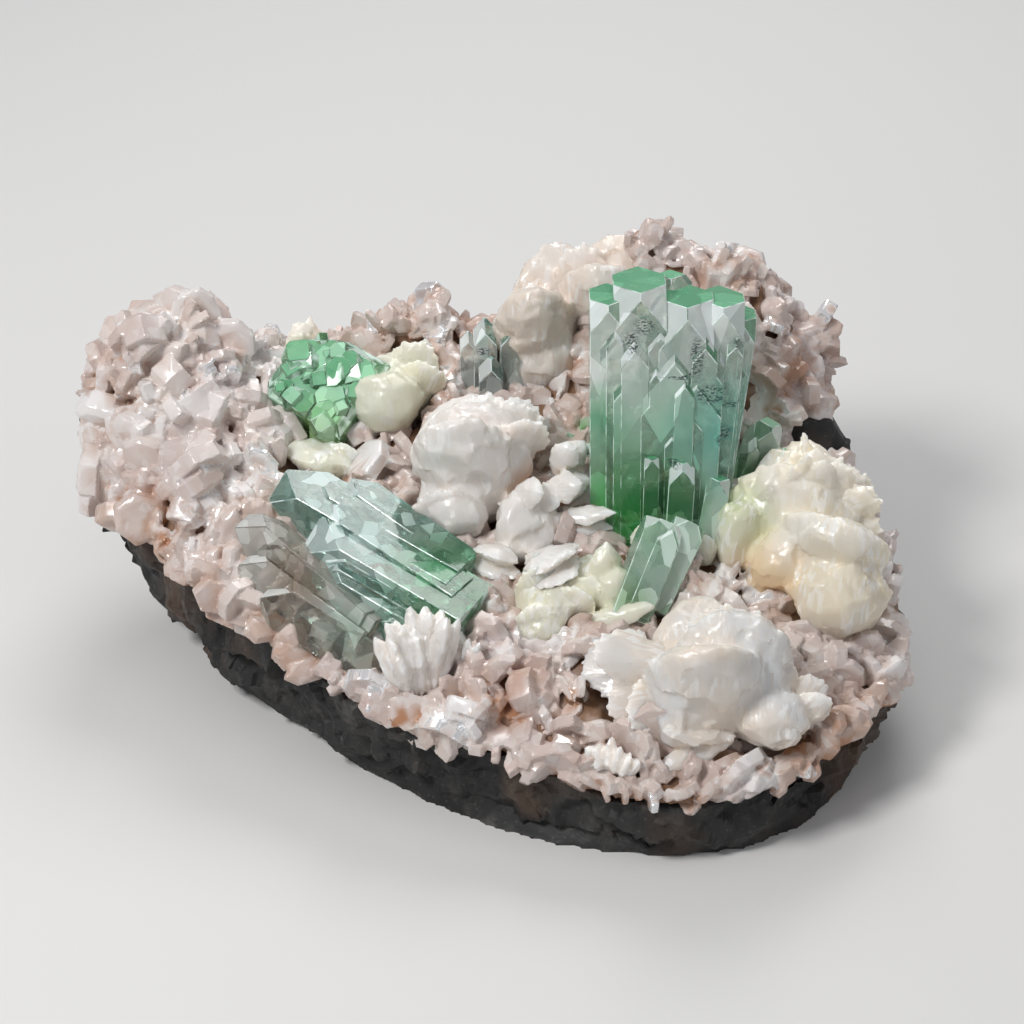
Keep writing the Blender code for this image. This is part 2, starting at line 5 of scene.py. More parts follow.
import bmesh
import bpy
import numpy as np
from mathutils import Matrix, Vector
from mathutils.bvhtree import BVHTree
from mathutils.kdtree import KDTree


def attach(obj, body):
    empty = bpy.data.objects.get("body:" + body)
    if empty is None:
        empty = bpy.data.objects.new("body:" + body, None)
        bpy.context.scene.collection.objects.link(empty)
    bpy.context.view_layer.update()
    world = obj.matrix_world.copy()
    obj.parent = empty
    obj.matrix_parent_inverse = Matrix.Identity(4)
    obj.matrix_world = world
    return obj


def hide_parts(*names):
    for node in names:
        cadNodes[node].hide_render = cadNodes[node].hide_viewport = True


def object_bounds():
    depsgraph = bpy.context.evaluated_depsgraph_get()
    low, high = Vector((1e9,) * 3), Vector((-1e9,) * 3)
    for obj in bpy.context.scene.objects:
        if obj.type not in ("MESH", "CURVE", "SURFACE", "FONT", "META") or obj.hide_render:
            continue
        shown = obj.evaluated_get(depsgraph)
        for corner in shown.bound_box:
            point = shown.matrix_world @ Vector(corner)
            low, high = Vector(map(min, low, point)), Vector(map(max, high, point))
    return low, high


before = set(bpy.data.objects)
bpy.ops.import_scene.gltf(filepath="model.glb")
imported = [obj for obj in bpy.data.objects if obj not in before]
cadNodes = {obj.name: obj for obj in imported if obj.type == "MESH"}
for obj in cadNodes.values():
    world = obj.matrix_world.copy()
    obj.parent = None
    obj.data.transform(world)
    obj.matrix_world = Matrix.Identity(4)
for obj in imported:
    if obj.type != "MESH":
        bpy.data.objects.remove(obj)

mm = 0.001
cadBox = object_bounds()
scene = bpy.context.scene
print("frame loaded:", len(cadNodes), "solids")


# Modelling by hand: small steps that the pieces below are made with


def pick(piece):
    # the piece becomes the only selected object, and the active one
    bpy.ops.object.select_all(action="DESELECT")
    piece.select_set(True)
    bpy.context.view_layer.objects.active = piece


def addObject(name, data):
    piece = bpy.data.objects.new(name, data)
    scene.collection.objects.link(piece)
    return piece


def startModelling():
    bpy.ops.object.mode_set(mode="EDIT")
    bpy.ops.mesh.select_all(action="SELECT")


def startPiece(name):
    # the primitive that was just added gets its name and is opened for modelling, all selected
    piece = bpy.context.object
    piece.name = name
    startModelling()
    return piece


def startPolygon(name, points):
    # a flat polygon one unit across that stands on the origin along Y
    bpy.ops.mesh.primitive_circle_add(vertices=points, radius=0.5, fill_type="NGON", location=(0, 0.5, 0))
    bpy.ops.object.transform_apply(location=True)
    return startPiece(name)


def stopModelling():
    bpy.ops.object.mode_set(mode="OBJECT")


def selectPoints(piece, test):
    # vertices for which test(place) is true, in edit mode
    shape = bmesh.from_edit_mesh(piece.data)
    for vertex in shape.verts:
        vertex.select_set(test(vertex.co))
    shape.select_flush(True)
    bmesh.update_edit_mesh(piece.data)


def cleave(direction, distance):
    # splits off what lies past a plane, and closes the cut with a flat face
    normal = Vector(direction).normalized()
    bpy.ops.mesh.select_all(action="SELECT")
    bpy.ops.mesh.bisect(
        plane_co=normal * distance, plane_no=normal, use_fill=True, clear_outer=True, threshold=1e-6
    )


def addModifier(piece, kind, **settings):
    # adds a modifier and applies it at once
    pick(piece)
    modifier = piece.modifiers.new(kind.lower(), kind)
    for key, value in settings.items():
        setattr(modifier, key, value)
    bpy.ops.object.modifier_apply(modifier=modifier.name)


def standOn(root, axis, facing=(1, 0, 0), roll=0.0):
    # matrix in millimetres at root, Z along axis and X as near to facing as that allows
    z = Vector(axis).normalized()
    y = z.cross(Vector(facing)).normalized()
    x = y.cross(z)
    turn = Matrix((x, y, z)).transposed().to_4x4()
    return Matrix.Translation(Vector(root)) @ turn @ Matrix.Rotation(math.radians(roll), 4, "Z")


def copyOfNode(name, newName):
    # a merged copy of a CAD solid, to be worked on
    piece = addObject(newName, cadNodes[name].data.copy())
    piece.data.materials.clear()
    pick(piece)
    startModelling()
    bpy.ops.mesh.remove_doubles(threshold=1e-6)
    stopModelling()
    return piece


def smooth(piece, angle):
    # edges that turn by less than angle degrees look rounded
    pick(piece)
    bpy.ops.object.shade_smooth_by_angle(angle=math.radians(angle))


def addWaves(piece, name, scale, strength, middle, **settings):
    # low waves or grit; scale and strength are in millimetres
    texture = bpy.data.textures.new(name, "CLOUDS")
    texture.noise_scale = scale * mm
    addModifier(
        piece, "DISPLACE", texture=texture, texture_coords="LOCAL", strength=strength * mm, mid_level=middle,
        **settings,
    )


def dress(piece, finish, slot, *replaced):
    # gives a finished piece its material, hangs it under the root and hides the solids that it replaces
    piece.data.materials.clear()
    piece.data.materials.append(finish)
    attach(piece, "root")
    if replaced:
        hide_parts(*replaced)


# Copies: a shape that is modelled once is copied many times into one mesh

versions = 3  # of each leaf and each small crystal


def modelKinds(shapes, model, seedStep):
    # every shape in some versions, named with a number at the end
    kinds = {}
    for name, look in shapes.items():
        for version in range(versions):
            kinds[name + str(version)] = model(name, look, seedStep * len(kinds) + version)
    print("modelled:", {name: len(kind["sizes"]) for name, kind in kinds.items() if name.endswith("0")})
    return kinds


def readValues(rows, key, width=1, kind=float):
    values = np.empty(len(rows) * width, kind)
    rows.foreach_get(key, values)
    return values.reshape(-1, width) if width > 1 else values


def readPoints(piece):
    return readValues(piece.data.vertices, "co", 3) / mm


def keepNumbers(mesh, label, values, domain="POINT"):
    mesh.attributes.new(label, "FLOAT", domain).data.foreach_set("value", values.astype(np.float32))


def readKind(piece):
    # the arrays of a finished shape, which is then removed
    mesh = piece.data
    kind = {
        "points": readValues(mesh.vertices, "co", 3),
        "corners": readValues(mesh.loops, "vertex_index", kind=np.int64),
        "sizes": readValues(mesh.polygons, "loop_total", kind=np.int64),
    }
    bpy.data.objects.remove(piece)
    bpy.data.meshes.remove(mesh)
    return kind


curlAlong, curlAcross = 0.02, 0.03  # how much a copy bends with its curl, a millimetre


def gather(name, kinds, copies):
    # one mesh of all the copies
    # each is (kind, 4x4 matrix in millimetres, (x, y, z) size, tone, curl, stain)
    points, corners, sizes, tones, rises, stains = [], [], [], [], [], []
    start = 0
    for kind, matrix, size, tone, curl, stain in copies:
        shape = kinds[kind]
        turn = np.array(matrix)
        local = shape["points"] * np.array(size)
        local[:, 2] += curlAlong * curl * local[:, 1] ** 2 - curlAcross * curl * local[:, 0] ** 2
        points.append(local @ turn[:3, :3].T + turn[:3, 3])
        corners.append(shape["corners"] + start)
        sizes.append(shape["sizes"])
        tones.append(np.full(len(local), tone))
        stains.append(np.full(len(local), stain))
        rises.append(shape["points"][:, 1])
        start += len(local)
    points = np.concatenate(points) * mm
    corners = np.concatenate(corners)
    sizes = np.concatenate(sizes)
    mesh = bpy.data.meshes.new(name)
    mesh.vertices.add(len(points))
    mesh.vertices.foreach_set("co", points.astype(np.float32).ravel())
    mesh.loops.add(len(corners))
    mesh.loops.foreach_set("vertex_index", corners.astype(np.int32))
    mesh.polygons.add(len(sizes))
    mesh.polygons.foreach_set("loop_start", (np.cumsum(sizes) - sizes).astype(np.int32))
    mesh.update(calc_edges=True)
    mesh.shade_flat()
    for label, values in (("tone", tones), ("rise", rises), ("stain", stains)):
        keepNumbers(mesh, label, np.concatenate(values))
    return addObject(name, mesh)


def nearestOf(points, targets):
    # for each point the number of the nearest target
    finder = KDTree(len(targets))
    for index, target in enumerate(targets):
        finder.insert(target, index)
    finder.balance()
    return np.array([finder.find(point)[1] for point in points])


def growTogether(name, kinds, copies, voxel, crisp=False, keep=1.0):
    # the copies become one body, whose points then learn which copy they lie on
    # crisp pulls the body back onto the copies, and keep is the share of its faces that stay
    source = gather(name + "Source", kinds, copies)
    piece = addObject(name, source.data.copy())
    owner = np.repeat(np.arange(len(copies)), [len(kinds[copy[0]]["points"]) for copy in copies])
    addModifier(piece, "REMESH", mode="VOXEL", voxel_size=voxel * mm)
    if crisp:
        addModifier(piece, "SHRINKWRAP", target=source, wrap_method="NEAREST_SURFACEPOINT")
    if keep < 1:
        addModifier(piece, "DECIMATE", ratio=keep)
    points = readPoints(piece)
    nearest = owner[nearestOf(points, readPoints(source))]
    bpy.data.objects.remove(source)
    numbers = {label: np.zeros(len(points)) for label in ("tone", "rise", "stain")}
    grain = np.zeros((len(points), 3))
    for index, (kind, matrix, size, tone, curl, stain) in enumerate(copies):
        here = nearest == index
        back = np.array(matrix.inverted())
        local = points[here] @ back[:3, :3].T + back[:3, 3]
        numbers["tone"][here] = tone
        numbers["stain"][here] = stain
        numbers["rise"][here] = np.maximum(local[:, 1] / size[1], 2 * abs(local[:, 0]) / size[0])
        grain[here] = local * 0.1 + index % 17  # each copy has its own stretch of the grain
    for label, values in numbers.items():
        keepNumbers(piece.data, label, values)
    along = piece.data.attributes.new("grain", "FLOAT_VECTOR", "POINT")
    along.data.foreach_set("vector", grain.astype(np.float32).ravel())
    return piece


def cutFacets(piece, spacing, strength, wander, most, seed, where=None):
    # flattens the surface into facets about spacing millimetres wide, each tilted a little its own way
    draw = np.random.default_rng(seed)
    points = readPoints(piece)
    normals = readValues(piece.data.vertex_normals, "vector", 3)
    area = sum(face.area for face in piece.data.polygons) / (mm * mm)
    chosen = draw.choice(len(points), max(4, int(area / spacing ** 2)), replace=False)
    planes = normals[chosen] + draw.normal(0, wander, (len(chosen), 3))
    planes /= np.linalg.norm(planes, axis=1)[:, None]
    nearest = nearestOf(points, points[chosen])
    plane = planes[nearest]
    gap = np.clip(np.sum((points - points[chosen][nearest]) * plane, axis=1) * strength, -most, most)
    gap *= np.sum(normals * plane, axis=1) > 0.35  # points that face well away from the facet stay
    if where is not None:
        gap *= where
    points = (points - plane * gap[:, None]) * mm
    piece.data.vertices.foreach_set("co", points.astype(np.float32).ravel())
    piece.data.update()


# Shader maths


class Sock:
    # an output socket that sums and products can be written with
    def __init__(self, graph, socket):
        self.graph = graph
        self.socket = socket

    def maths(self, operation, first, second, clamp=False):
        settings = {"operation": operation, "use_clamp": clamp}
        return self.graph.node("ShaderNodeMath", settings, {0: first, 1: second})

    def __add__(self, other):
        return self.maths("ADD", self, other)

    def __radd__(self, other):
        return self.maths("ADD", other, self)

    def __rsub__(self, other):
        return self.maths("SUBTRACT", other, self)

    def __mul__(self, other):
        return self.maths("MULTIPLY", self, other)

    def __rmul__(self, other):
        return self.maths("MULTIPLY", other, self)

    def clamped(self):
        return self.maths("ADD", self, 0, True)


class Graph:
    # one material's nodes around its Principled shader
    def __init__(self, name):
        self.material = bpy.data.materials.new(name)
        self.material.use_nodes = True
        self.tree = self.material.node_tree
        self.shader = self.tree.nodes["Principled BSDF"]
        self.output = self.tree.nodes["Material Output"]
        self.places = self.node("ShaderNodeTexCoord", out=3)

    def node(self, kind, settings=None, values=None, out=0):
        made = self.tree.nodes.new(kind)
        for key, value in (settings or {}).items():
            if key == "stops":
                self.setStops(made.color_ramp, value)
            else:
                setattr(made, key, value)
        for key, value in (values or {}).items():
            self.put(made.inputs[key], value)
        return Sock(self, made.outputs[out])

    def setStops(self, ramp, stops):
        while len(ramp.elements) < len(stops):
            ramp.elements.new(0.5)
        for element, (place, level) in zip(ramp.elements, stops):
            element.position = place
            element.color = (*level, 1) if isinstance(level, tuple) else (level, level, level, 1)

    def put(self, socket, value):
        if isinstance(value, Sock):
            self.tree.links.new(value.socket, socket)
        elif isinstance(value, tuple) and len(value) == 3 and socket.type == "RGBA":
            socket.default_value = (*value, 1)
        else:
            socket.default_value = value

    def noise(self, scale, detail, vector=None, roughness=0.5):
        values = {"Vector": vector or self.places, "Scale": scale, "Detail": detail, "Roughness": roughness}
        return self.node("ShaderNodeTexNoise", {}, values)

    def cells(self, scale):
        return self.node("ShaderNodeTexVoronoi", {}, {"Vector": self.places, "Scale": scale})

    def ramp(self, factor, *stops):
        return self.node("ShaderNodeValToRGB", {"stops": stops}, {0: factor})

    def blend(self, factor, first, second):
        return self.node("ShaderNodeMix", {"data_type": "RGBA"}, {0: factor, 6: first, 7: second}, 2)

    def attribute(self, name):
        return self.node("ShaderNodeAttribute", {"attribute_name": name}, out=2)

    def grain(self):
        # place within a leaf or a small crystal, with Y along it
        return self.node("ShaderNodeAttribute", {"attribute_name": "grain"}, out=1)

    def stretched(self, scale, vector=None):
        return self.node("ShaderNodeMapping", {}, {"Vector": vector or self.places, "Scale": scale})

    def near(self, centre, reach):
        # 1 at a point given in millimetres, falling to 0 at reach
        gap = self.vector("DISTANCE", self.places, Vector(centre) * mm, 1)
        settings = {"operation": "MULTIPLY_ADD", "use_clamp": True}
        return self.node("ShaderNodeMath", settings, {0: gap, 1: -1 / (reach * mm), 2: 1.0})

    def vector(self, operation, first, second, out=0):
        return self.node("ShaderNodeVectorMath", {"operation": operation}, {0: first, 1: second}, out)

    def within(self, patches):
        # 1 in the middle of any of some ellipsoids given in millimetres, falling to 0 at their edges
        nearest = None
        for centre, size in patches:
            away = self.vector("SUBTRACT", self.places, Vector(centre) * mm)
            share = self.vector("DIVIDE", away, Vector(size) * mm)
            far = self.node("ShaderNodeVectorMath", {"operation": "LENGTH"}, {0: share}, 1)
            nearest = far if nearest is None else nearest.maths("MINIMUM", nearest, far)
        return (1 - nearest).clamped()

    def shards(self, vector):
        # flat shards at all angles: their height, and a tone that each one has
        cells = self.node("ShaderNodeTexVoronoi", {}, {"Vector": vector, "Scale": 1.0}, 1)
        centre = Sock(self, cells.socket.node.outputs[2])
        lean = self.vector("SUBTRACT", cells, (0.5, 0.5, 0.5))
        height = self.vector("DOT_PRODUCT", self.vector("SUBTRACT", vector, centre), lean, 1)
        return height, self.node("ShaderNodeSeparateColor", {}, {0: cells})

    def bump(self, height, strength, distance):
        values = {"Height": height, "Strength": strength, "Distance": distance * mm}
        return self.node("ShaderNodeBump", {}, values)

    def fill(self, shader, values):
        # the values' names are the shader's socket names with underscores for spaces
        for key, value in values.items():
            self.put(shader.inputs[key.replace("_", " ")], value)

    def shade(self, **values):
        self.fill(self.shader, values)
        return self.material

    def coverWith(self, factor, **values):
        # a second Principled shader that lies over the first where factor is 1
        over = self.tree.nodes.new("ShaderNodeBsdfPrincipled")
        self.fill(over, values)
        mix = self.tree.nodes.new("ShaderNodeMixShader")
        self.put(mix.inputs[0], factor)
        self.tree.links.new(self.shader.outputs[0], mix.inputs[1])
        self.tree.links.new(over.outputs[0], mix.inputs[2])
        self.tree.links.new(mix.outputs[0], self.output.inputs["Surface"])


# Finishes

crystalIndex = 1.535  # index of refraction
# painted reflection: the near black of the dark veils on the crystals' inner planes
darkReflectionColour = (0.012, 0.022, 0.028)
# painted highlight on the stilbite's blades
paintedGlintColour = (0.92, 0.92, 0.91)
# painted sheen on some druse crystals
paintedSheenColour = (0.95, 0.96, 0.97)


def makeCrystalFinish(name, look):
    # see-through crystal: plain transmission, index and absorption, milky in parts, with shards, dark veils
    # of painted reflection on inner planes, painted sheen on some corner faces and painted highlights along
    # its edges
    graph = Graph(name)
    tone, cap, edge = graph.attribute("tone"), graph.attribute("cap"), graph.attribute("edge")
    slant = graph.attribute("slant")
    height, shardTone = graph.shards(graph.stretched(look["shards"]))
    mosaic = look["mosaic"]
    clouds = graph.ramp(graph.noise(110, 2), (0.35, 0.0), (0.65, 1.0))
    colour = graph.blend(clouds, look["body"], look["second"])
    colour = graph.blend(graph.ramp(tone, (0.5, 0.0), (1.0, 0.6)), colour, look["pale"])
    colour = graph.blend(graph.ramp(tone, (0.0, 0.6), (0.35, 0.0)), colour, look["dark"])
    colour = graph.blend(graph.ramp(shardTone, (0.6, 0.0), (0.95, mosaic)), colour, look["pale"])
    colour = graph.blend(graph.ramp(shardTone, (0.05, mosaic), (0.35, 0.0)), colour, look["dark"])
    for centre, reach, tint in look["tints"]:
        colour = graph.blend(graph.near(centre, reach), colour, tint)
    # painted sheen: some slanting corner faces are painted pale and milky, as if silvery in the light
    paintedSheen = slant * graph.ramp(tone, (0.30, 0.0), (0.55, look["paintedSheen"]))
    colour = graph.blend(paintedSheen, colour, look["pale"])
    colour = graph.blend(slant * graph.ramp(tone, (0.05, 0.8), (0.25, 0.0)), colour, look["cap"])
    colour = graph.blend(look["capCover"] * cap, colour, look["cap"])
    # painted highlight: the bevelled edges are painted pale and milky in patches, as if they caught the light
    paintedEdgeHighlight = edge * graph.ramp(graph.noise(420, 1), (0.38, 0.15), (0.58, 1.0))
    colour = graph.blend(0.85 * paintedEdgeHighlight, colour, look["edge"])
    milk = look["milk"] + 0.45 * cap + 0.6 * paintedEdgeHighlight + 0.35 * paintedSheen
    milk = milk + graph.ramp(tone, (0.55, 0.0), (1.0, 0.3))
    milk = milk + graph.ramp(shardTone, (0.7, 0.0), (0.95, mosaic))
    # painted reflection: dark streaks on inner planes, painted in where dark surroundings would be seen
    # reflected
    if look["marks"]:
        dashes = graph.noise(1, 3, graph.stretched((1500, 1500, 3200)), 0.7)
        darkReflection = graph.ramp(graph.within(look["marks"]), (0.0, 0.0), (0.45, 1.0))
        darkReflection = darkReflection * graph.ramp(dashes, (0.47, 0.0), (0.52, 1.0))
        colour = graph.blend(0.9 * darkReflection, colour, darkReflectionColour)
        milk = milk + darkReflection
    lines = graph.noise(1, 1, graph.stretched(look["grain"]))
    relief = look["tilt"] * height + 0.12 * lines
    frost = graph.ramp(graph.noise(260, 2, roughness=0.7), (0.54, 0.0), (0.70, 1.0))
    absorb = {"Color": (*look["depth"], 1), "Density": look["density"]}
    volume = graph.node("ShaderNodeVolumeAbsorption", {}, absorb)
    graph.tree.links.new(volume.socket, graph.output.inputs["Volume"])
    normal = graph.bump(relief, 0.6, 0.2)
    graph.shade(
        Base_Color=graph.blend(0.28, colour, (1.0, 1.0, 1.0)), Roughness=look["rough"] + 0.15 * frost,
        Transmission_Weight=look["clear"], IOR=crystalIndex, Normal=normal,
    )
    graph.coverWith(
        milk.clamped(), Base_Color=colour, Roughness=0.17 + 0.2 * frost, IOR=crystalIndex, Normal=normal,
    )
    return graph.material


def makeLeafFinish(name, look):
    # pearly, waxy stilbite in bundles of fine blades that run along each leaf, with painted highlights where
    # some of them catch the light
    graph = Graph(name)
    grain = graph.grain()
    blades, bladeTone = graph.shards(graph.stretched((15, 2.2, 8), grain))
    fine = graph.noise(1, 1, graph.stretched((40, 2.4, 1), grain))
    tone = graph.attribute("tone")
    rise = graph.attribute("rise")
    colour = graph.blend(tone, look["deep"], look["light"])
    colour = graph.blend(graph.ramp(graph.noise(75, 2), (0.40, 0.0), (0.64, 1.0)), colour, look["second"])
    colour = graph.blend(graph.ramp(bladeTone, (0.1, 0.2), (0.45, 0.0)), colour, look["deep"])
    for centre, reach, tint in look["tints"]:
        colour = graph.blend(graph.near(centre, reach), colour, tint)
    colour = graph.blend(graph.ramp(rise, (0.74, 0.0), (1.0, 0.8)), colour, look["edge"])
    # painted highlight: patches of blades are painted near white, as if they caught the light, and are a
    # little smoother
    spots = graph.ramp(graph.noise(130, 1), (0.50, 0.0), (0.60, 1.0))
    paintedGlint = spots * graph.ramp(bladeTone, (0.58, 0.0), (0.68, 1.0))
    colour = graph.blend(0.5 * paintedGlint, colour, paintedGlintColour)
    graph.shader.subsurface_method = "BURLEY"
    return graph.shade(
        Base_Color=colour, Roughness=look["rough"] - 0.15 * paintedGlint, IOR=1.5, Subsurface_Weight=look["milk"],
        Subsurface_Radius=(1.0, 0.84, 0.66), Subsurface_Scale=2.2 * mm,
        Normal=graph.bump(0.35 * blades + 0.10 * fine, 0.6, 0.4),
    )


def makeDruseFinish(name, look):
    # pinkish glassy crystals, rusty in patches, rust-coloured at their roots as rust and as painted shade in
    # the crevices, some with a painted silvery sheen
    graph = Graph(name)
    tone = graph.attribute("tone")
    facetTone = graph.shards(graph.stretched((520, 520, 520)))[1]
    colour = graph.ramp(tone, *look["tones"])
    colour = graph.blend(graph.ramp(graph.noise(60, 2), (0.46, 0.0), (0.62, 0.6)), colour, look["mauve"])
    colour = graph.blend(graph.ramp(facetTone, (0.6, 0.0), (0.95, 0.4)), colour, look["pale"])
    rust = graph.ramp(graph.noise(42, 2), (0.53, 0.0), (0.64, 1.0))
    # rust and painted shade: towards its root, down in the crevices, each crystal turns to the rust colour
    root = graph.ramp(graph.attribute("rise"), (0.30, 1.0), (0.75, 0.0))
    stain = graph.attribute("stain")
    patch = graph.near(*look["patches"][0])
    for centre, reach in look["patches"][1:]:
        patch = patch + graph.near(centre, reach)
    patch = patch * graph.ramp(graph.noise(150, 3), (0.42, 0.0), (0.60, 1.0))
    rusty = rust * (0.3 + 0.7 * stain) * (0.3 + root) + 0.65 * stain * root + patch * (1.1 + root)
    colour = graph.blend(0.8 * rusty.clamped(), colour, look["rust"])
    # painted sheen: the palest tone is painted silvery white in streaks, and is partly metallic
    paintedSheen = graph.ramp(tone, (0.93, 0.0), (0.95, 1.0))
    streaks = graph.noise(1, 2, graph.stretched((70, 3, 1), graph.grain()))
    colour = graph.blend(paintedSheen * graph.ramp(streaks, (0.40, 0.0), (0.55, 1.0)), colour, paintedSheenColour)
    rough = 0.06 + 0.3 * graph.noise(300, 0)
    return graph.shade(Base_Color=colour, Roughness=rough, IOR=1.56, Metallic=0.45 * paintedSheen)


def makeBedFinish():
    # the crust below the small crystals: patches from dark brown to pale pink, kept dark as rust and as
    # painted shade under the crystals
    graph = Graph("crustBed")
    brown, tan, pink = (0.07, 0.035, 0.018), (0.24, 0.13, 0.07), (0.44, 0.32, 0.26)
    # painted shade: the dark browns stand for rust and for the shade under the crystals
    colour = graph.ramp(graph.noise(160, 3), (0.3, brown), (0.5, tan), (0.65, pink))
    return graph.shade(Base_Color=colour, Roughness=0.7, Normal=graph.bump(graph.noise(500, 2), 0.5, 0.3))


def makeBasaltFinish():
    # dark fine-grained rock, with brown streaks, dusty places and pale specks that are painted glints
    graph = Graph("basaltRock")
    black, charcoal, grey = (0.010, 0.010, 0.010), (0.026, 0.026, 0.025), (0.055, 0.052, 0.046)
    colour = graph.ramp(graph.noise(60, 4, roughness=0.65), (0.35, black), (0.6, charcoal), (0.8, grey))
    # painted highlight: small pale specks painted in as glints
    paintedSpeckGlint = graph.ramp(graph.cells(700), (0.0, 1.0), (0.22, 0.0))
    colour = graph.blend(0.35 * paintedSpeckGlint, colour, (0.16, 0.15, 0.13))
    streak = graph.ramp(graph.noise(1, 3, graph.stretched((40, 40, 26))), (0.50, 0.0), (0.66, 1.0))
    colour = graph.blend(0.6 * streak, colour, (0.11, 0.058, 0.030))
    dust = graph.ramp(graph.noise(150, 3, roughness=0.7), (0.54, 0.0), (0.68, 1.0))
    colour = graph.blend(0.30 * dust, colour, (0.15, 0.13, 0.11))
    height = graph.noise(420, 3, roughness=0.7) + 0.4 * graph.noise(900, 1)
    rough = 0.42 + 0.4 * graph.noise(380, 1)
    return graph.shade(Base_Color=colour, Roughness=rough, Normal=graph.bump(height, 0.6, 0.4))


# body, second, pale and dark are the colours of a crystal's inside, cap and edge those of its faces, edge
# being a painted highlight along the bevels
# tints are coloured zones: centre and reach in millimetres, colour; marks are dark veils of painted
# reflection on inner planes: centre, size
crystalLooks = {
    "mainGreen": dict(
        body=(0.70, 0.87, 0.78), second=(0.80, 0.85, 0.77), pale=(0.93, 0.98, 0.97), dark=(0.28, 0.68, 0.48),
        cap=(0.09, 0.45, 0.20), capCover=0.85, edge=(0.88, 0.99, 0.96), depth=(0.5, 0.96, 0.74), density=5,
        clear=0.97, rough=0.01, grain=(1500, 1500, 70), milk=0.20, tilt=0.9, paintedSheen=0.85,
        shards=(170, 170, 60), mosaic=0.30,
        tints=(((29, 2, 50), 19, (0.36, 0.86, 0.56)), ((19, 0, 40), 19, (0.01, 0.44, 0.04)),
               ((25, 2, 37), 15, (0.02, 0.50, 0.07)), ((42, 6, 54), 14, (0.16, 0.74, 0.60)),
               ((17, 8, 56), 8, (0.16, 0.66, 0.34)), ((32, 0, 44), 8, (0.10, 0.60, 0.16)),
               ((14.8, 22.5, 44), 5.5, (0.12, 0.42, 0.03)), ((30, -4, 50.5), 3.0, (0.10, 0.34, 0.02))),
        marks=(((25.9, 4, 73.5), (5.0, 16, 3.6)), ((23.5, 4, 71.0), (2.8, 16, 3.0)),
               ((35.3, 4, 68.5), (2.2, 16, 6.2)), ((38.2, 4, 61.7), (4.6, 16, 3.0)),
               ((32.3, 4, 65.0), (4.6, 16, 0.6)), ((43.0, 4, 69.7), (3.6, 16, 2.0)),
               ((41.9, 4, 58.4), (4.4, 16, 0.9)), ((40.6, 4, 53.1), (2.2, 16, 2.0)),
               ((31.3, 4, 49.2), (2.0, 16, 1.4))),
    ),
    "squatGreen": dict(
        body=(0.22, 0.70, 0.34), second=(0.34, 0.78, 0.46), pale=(0.66, 0.90, 0.72), dark=(0.04, 0.42, 0.15),
        cap=(0.26, 0.66, 0.36), capCover=0.3, edge=(0.84, 0.97, 0.90), depth=(0.4, 0.92, 0.5), density=12,
        clear=0.97, rough=0.02, grain=(900, 900, 120), milk=0.14, tilt=1.3, paintedSheen=0.45,
        shards=(330, 330, 330), mosaic=0.4, marks=(),
        tints=(((-34, 25, 42), 9, (0.34, 0.66, 0.04)), ((-32, 40, 54), 6, (0.20, 0.40, 0.07))),
    ),
    "smallGreen": dict(
        body=(0.56, 0.88, 0.64), second=(0.68, 0.90, 0.76), pale=(0.92, 0.98, 0.94), dark=(0.28, 0.64, 0.38),
        cap=(0.40, 0.78, 0.50), capCover=0.4, edge=(0.86, 0.97, 0.92), depth=(0.5, 0.95, 0.6), density=8,
        clear=0.97, rough=0.02, grain=(900, 900, 160), milk=0.28, tilt=1.0, paintedSheen=0.85,
        shards=(330, 330, 200), mosaic=0.45, marks=(),
        tints=(((23, -15, 31), 6, (0.18, 0.44, 0.05)), ((48, 16, 36), 8, (0.16, 0.66, 0.16))),
    ),
    "reclinedTeal": dict(
        body=(0.30, 0.62, 0.51), second=(0.48, 0.72, 0.64), pale=(0.90, 0.97, 0.96), dark=(0.08, 0.38, 0.29),
        cap=(0.32, 0.62, 0.52), capCover=0.3, edge=(0.84, 0.97, 0.94), depth=(0.5, 0.9, 0.8), density=8,
        clear=0.97, rough=0.02, grain=(500, 500, 500), milk=0.16, tilt=1.6, paintedSheen=0.85,
        shards=(300, 300, 300), mosaic=0.42, marks=(),
        tints=(((-5, -19, 33), 19, (0.02, 0.42, 0.07)), ((-9, -12, 36), 14, (0.06, 0.50, 0.18))),
    ),
    "clear": dict(
        body=(0.88, 0.95, 0.93), second=(0.82, 0.94, 0.90), pale=(0.95, 0.99, 0.97), dark=(0.50, 0.70, 0.66),
        cap=(0.12, 0.54, 0.42), capCover=0.7, edge=(0.92, 0.99, 0.97), depth=(0.6, 0.95, 0.85), density=3,
        clear=0.98, rough=0.01, grain=(900, 900, 160), milk=0.16, tilt=0.8, paintedSheen=0.85,
        shards=(330, 330, 160), mosaic=0.4,
        tints=(((3, 34, 64), 8, (0.08, 0.56, 0.42)), ((-4, 34, 61), 7, (0.08, 0.56, 0.42))),
        marks=(((3.6, 34, 57.0), (3.0, 12, 2.2)), ((-3.6, 34, 54.0), (1.8, 12, 1.2))),
    ),
    "plates": dict(
        body=(0.80, 0.84, 0.78), second=(0.66, 0.60, 0.48), pale=(0.94, 0.96, 0.93), dark=(0.46, 0.44, 0.34),
        cap=(0.72, 0.78, 0.70), capCover=0.3, edge=(0.93, 0.96, 0.93), depth=(0.8, 0.9, 0.75), density=5,
        clear=0.97, rough=0.02, grain=(500, 500, 500), milk=0.05, tilt=1.3, paintedSheen=0.85,
        shards=(300, 300, 300), mosaic=0.25, marks=(),
        tints=(((-36, -12, 34), 8, (0.46, 0.32, 0.20)), ((-28, -22, 30), 8, (0.56, 0.74, 0.60))),
    ),
}
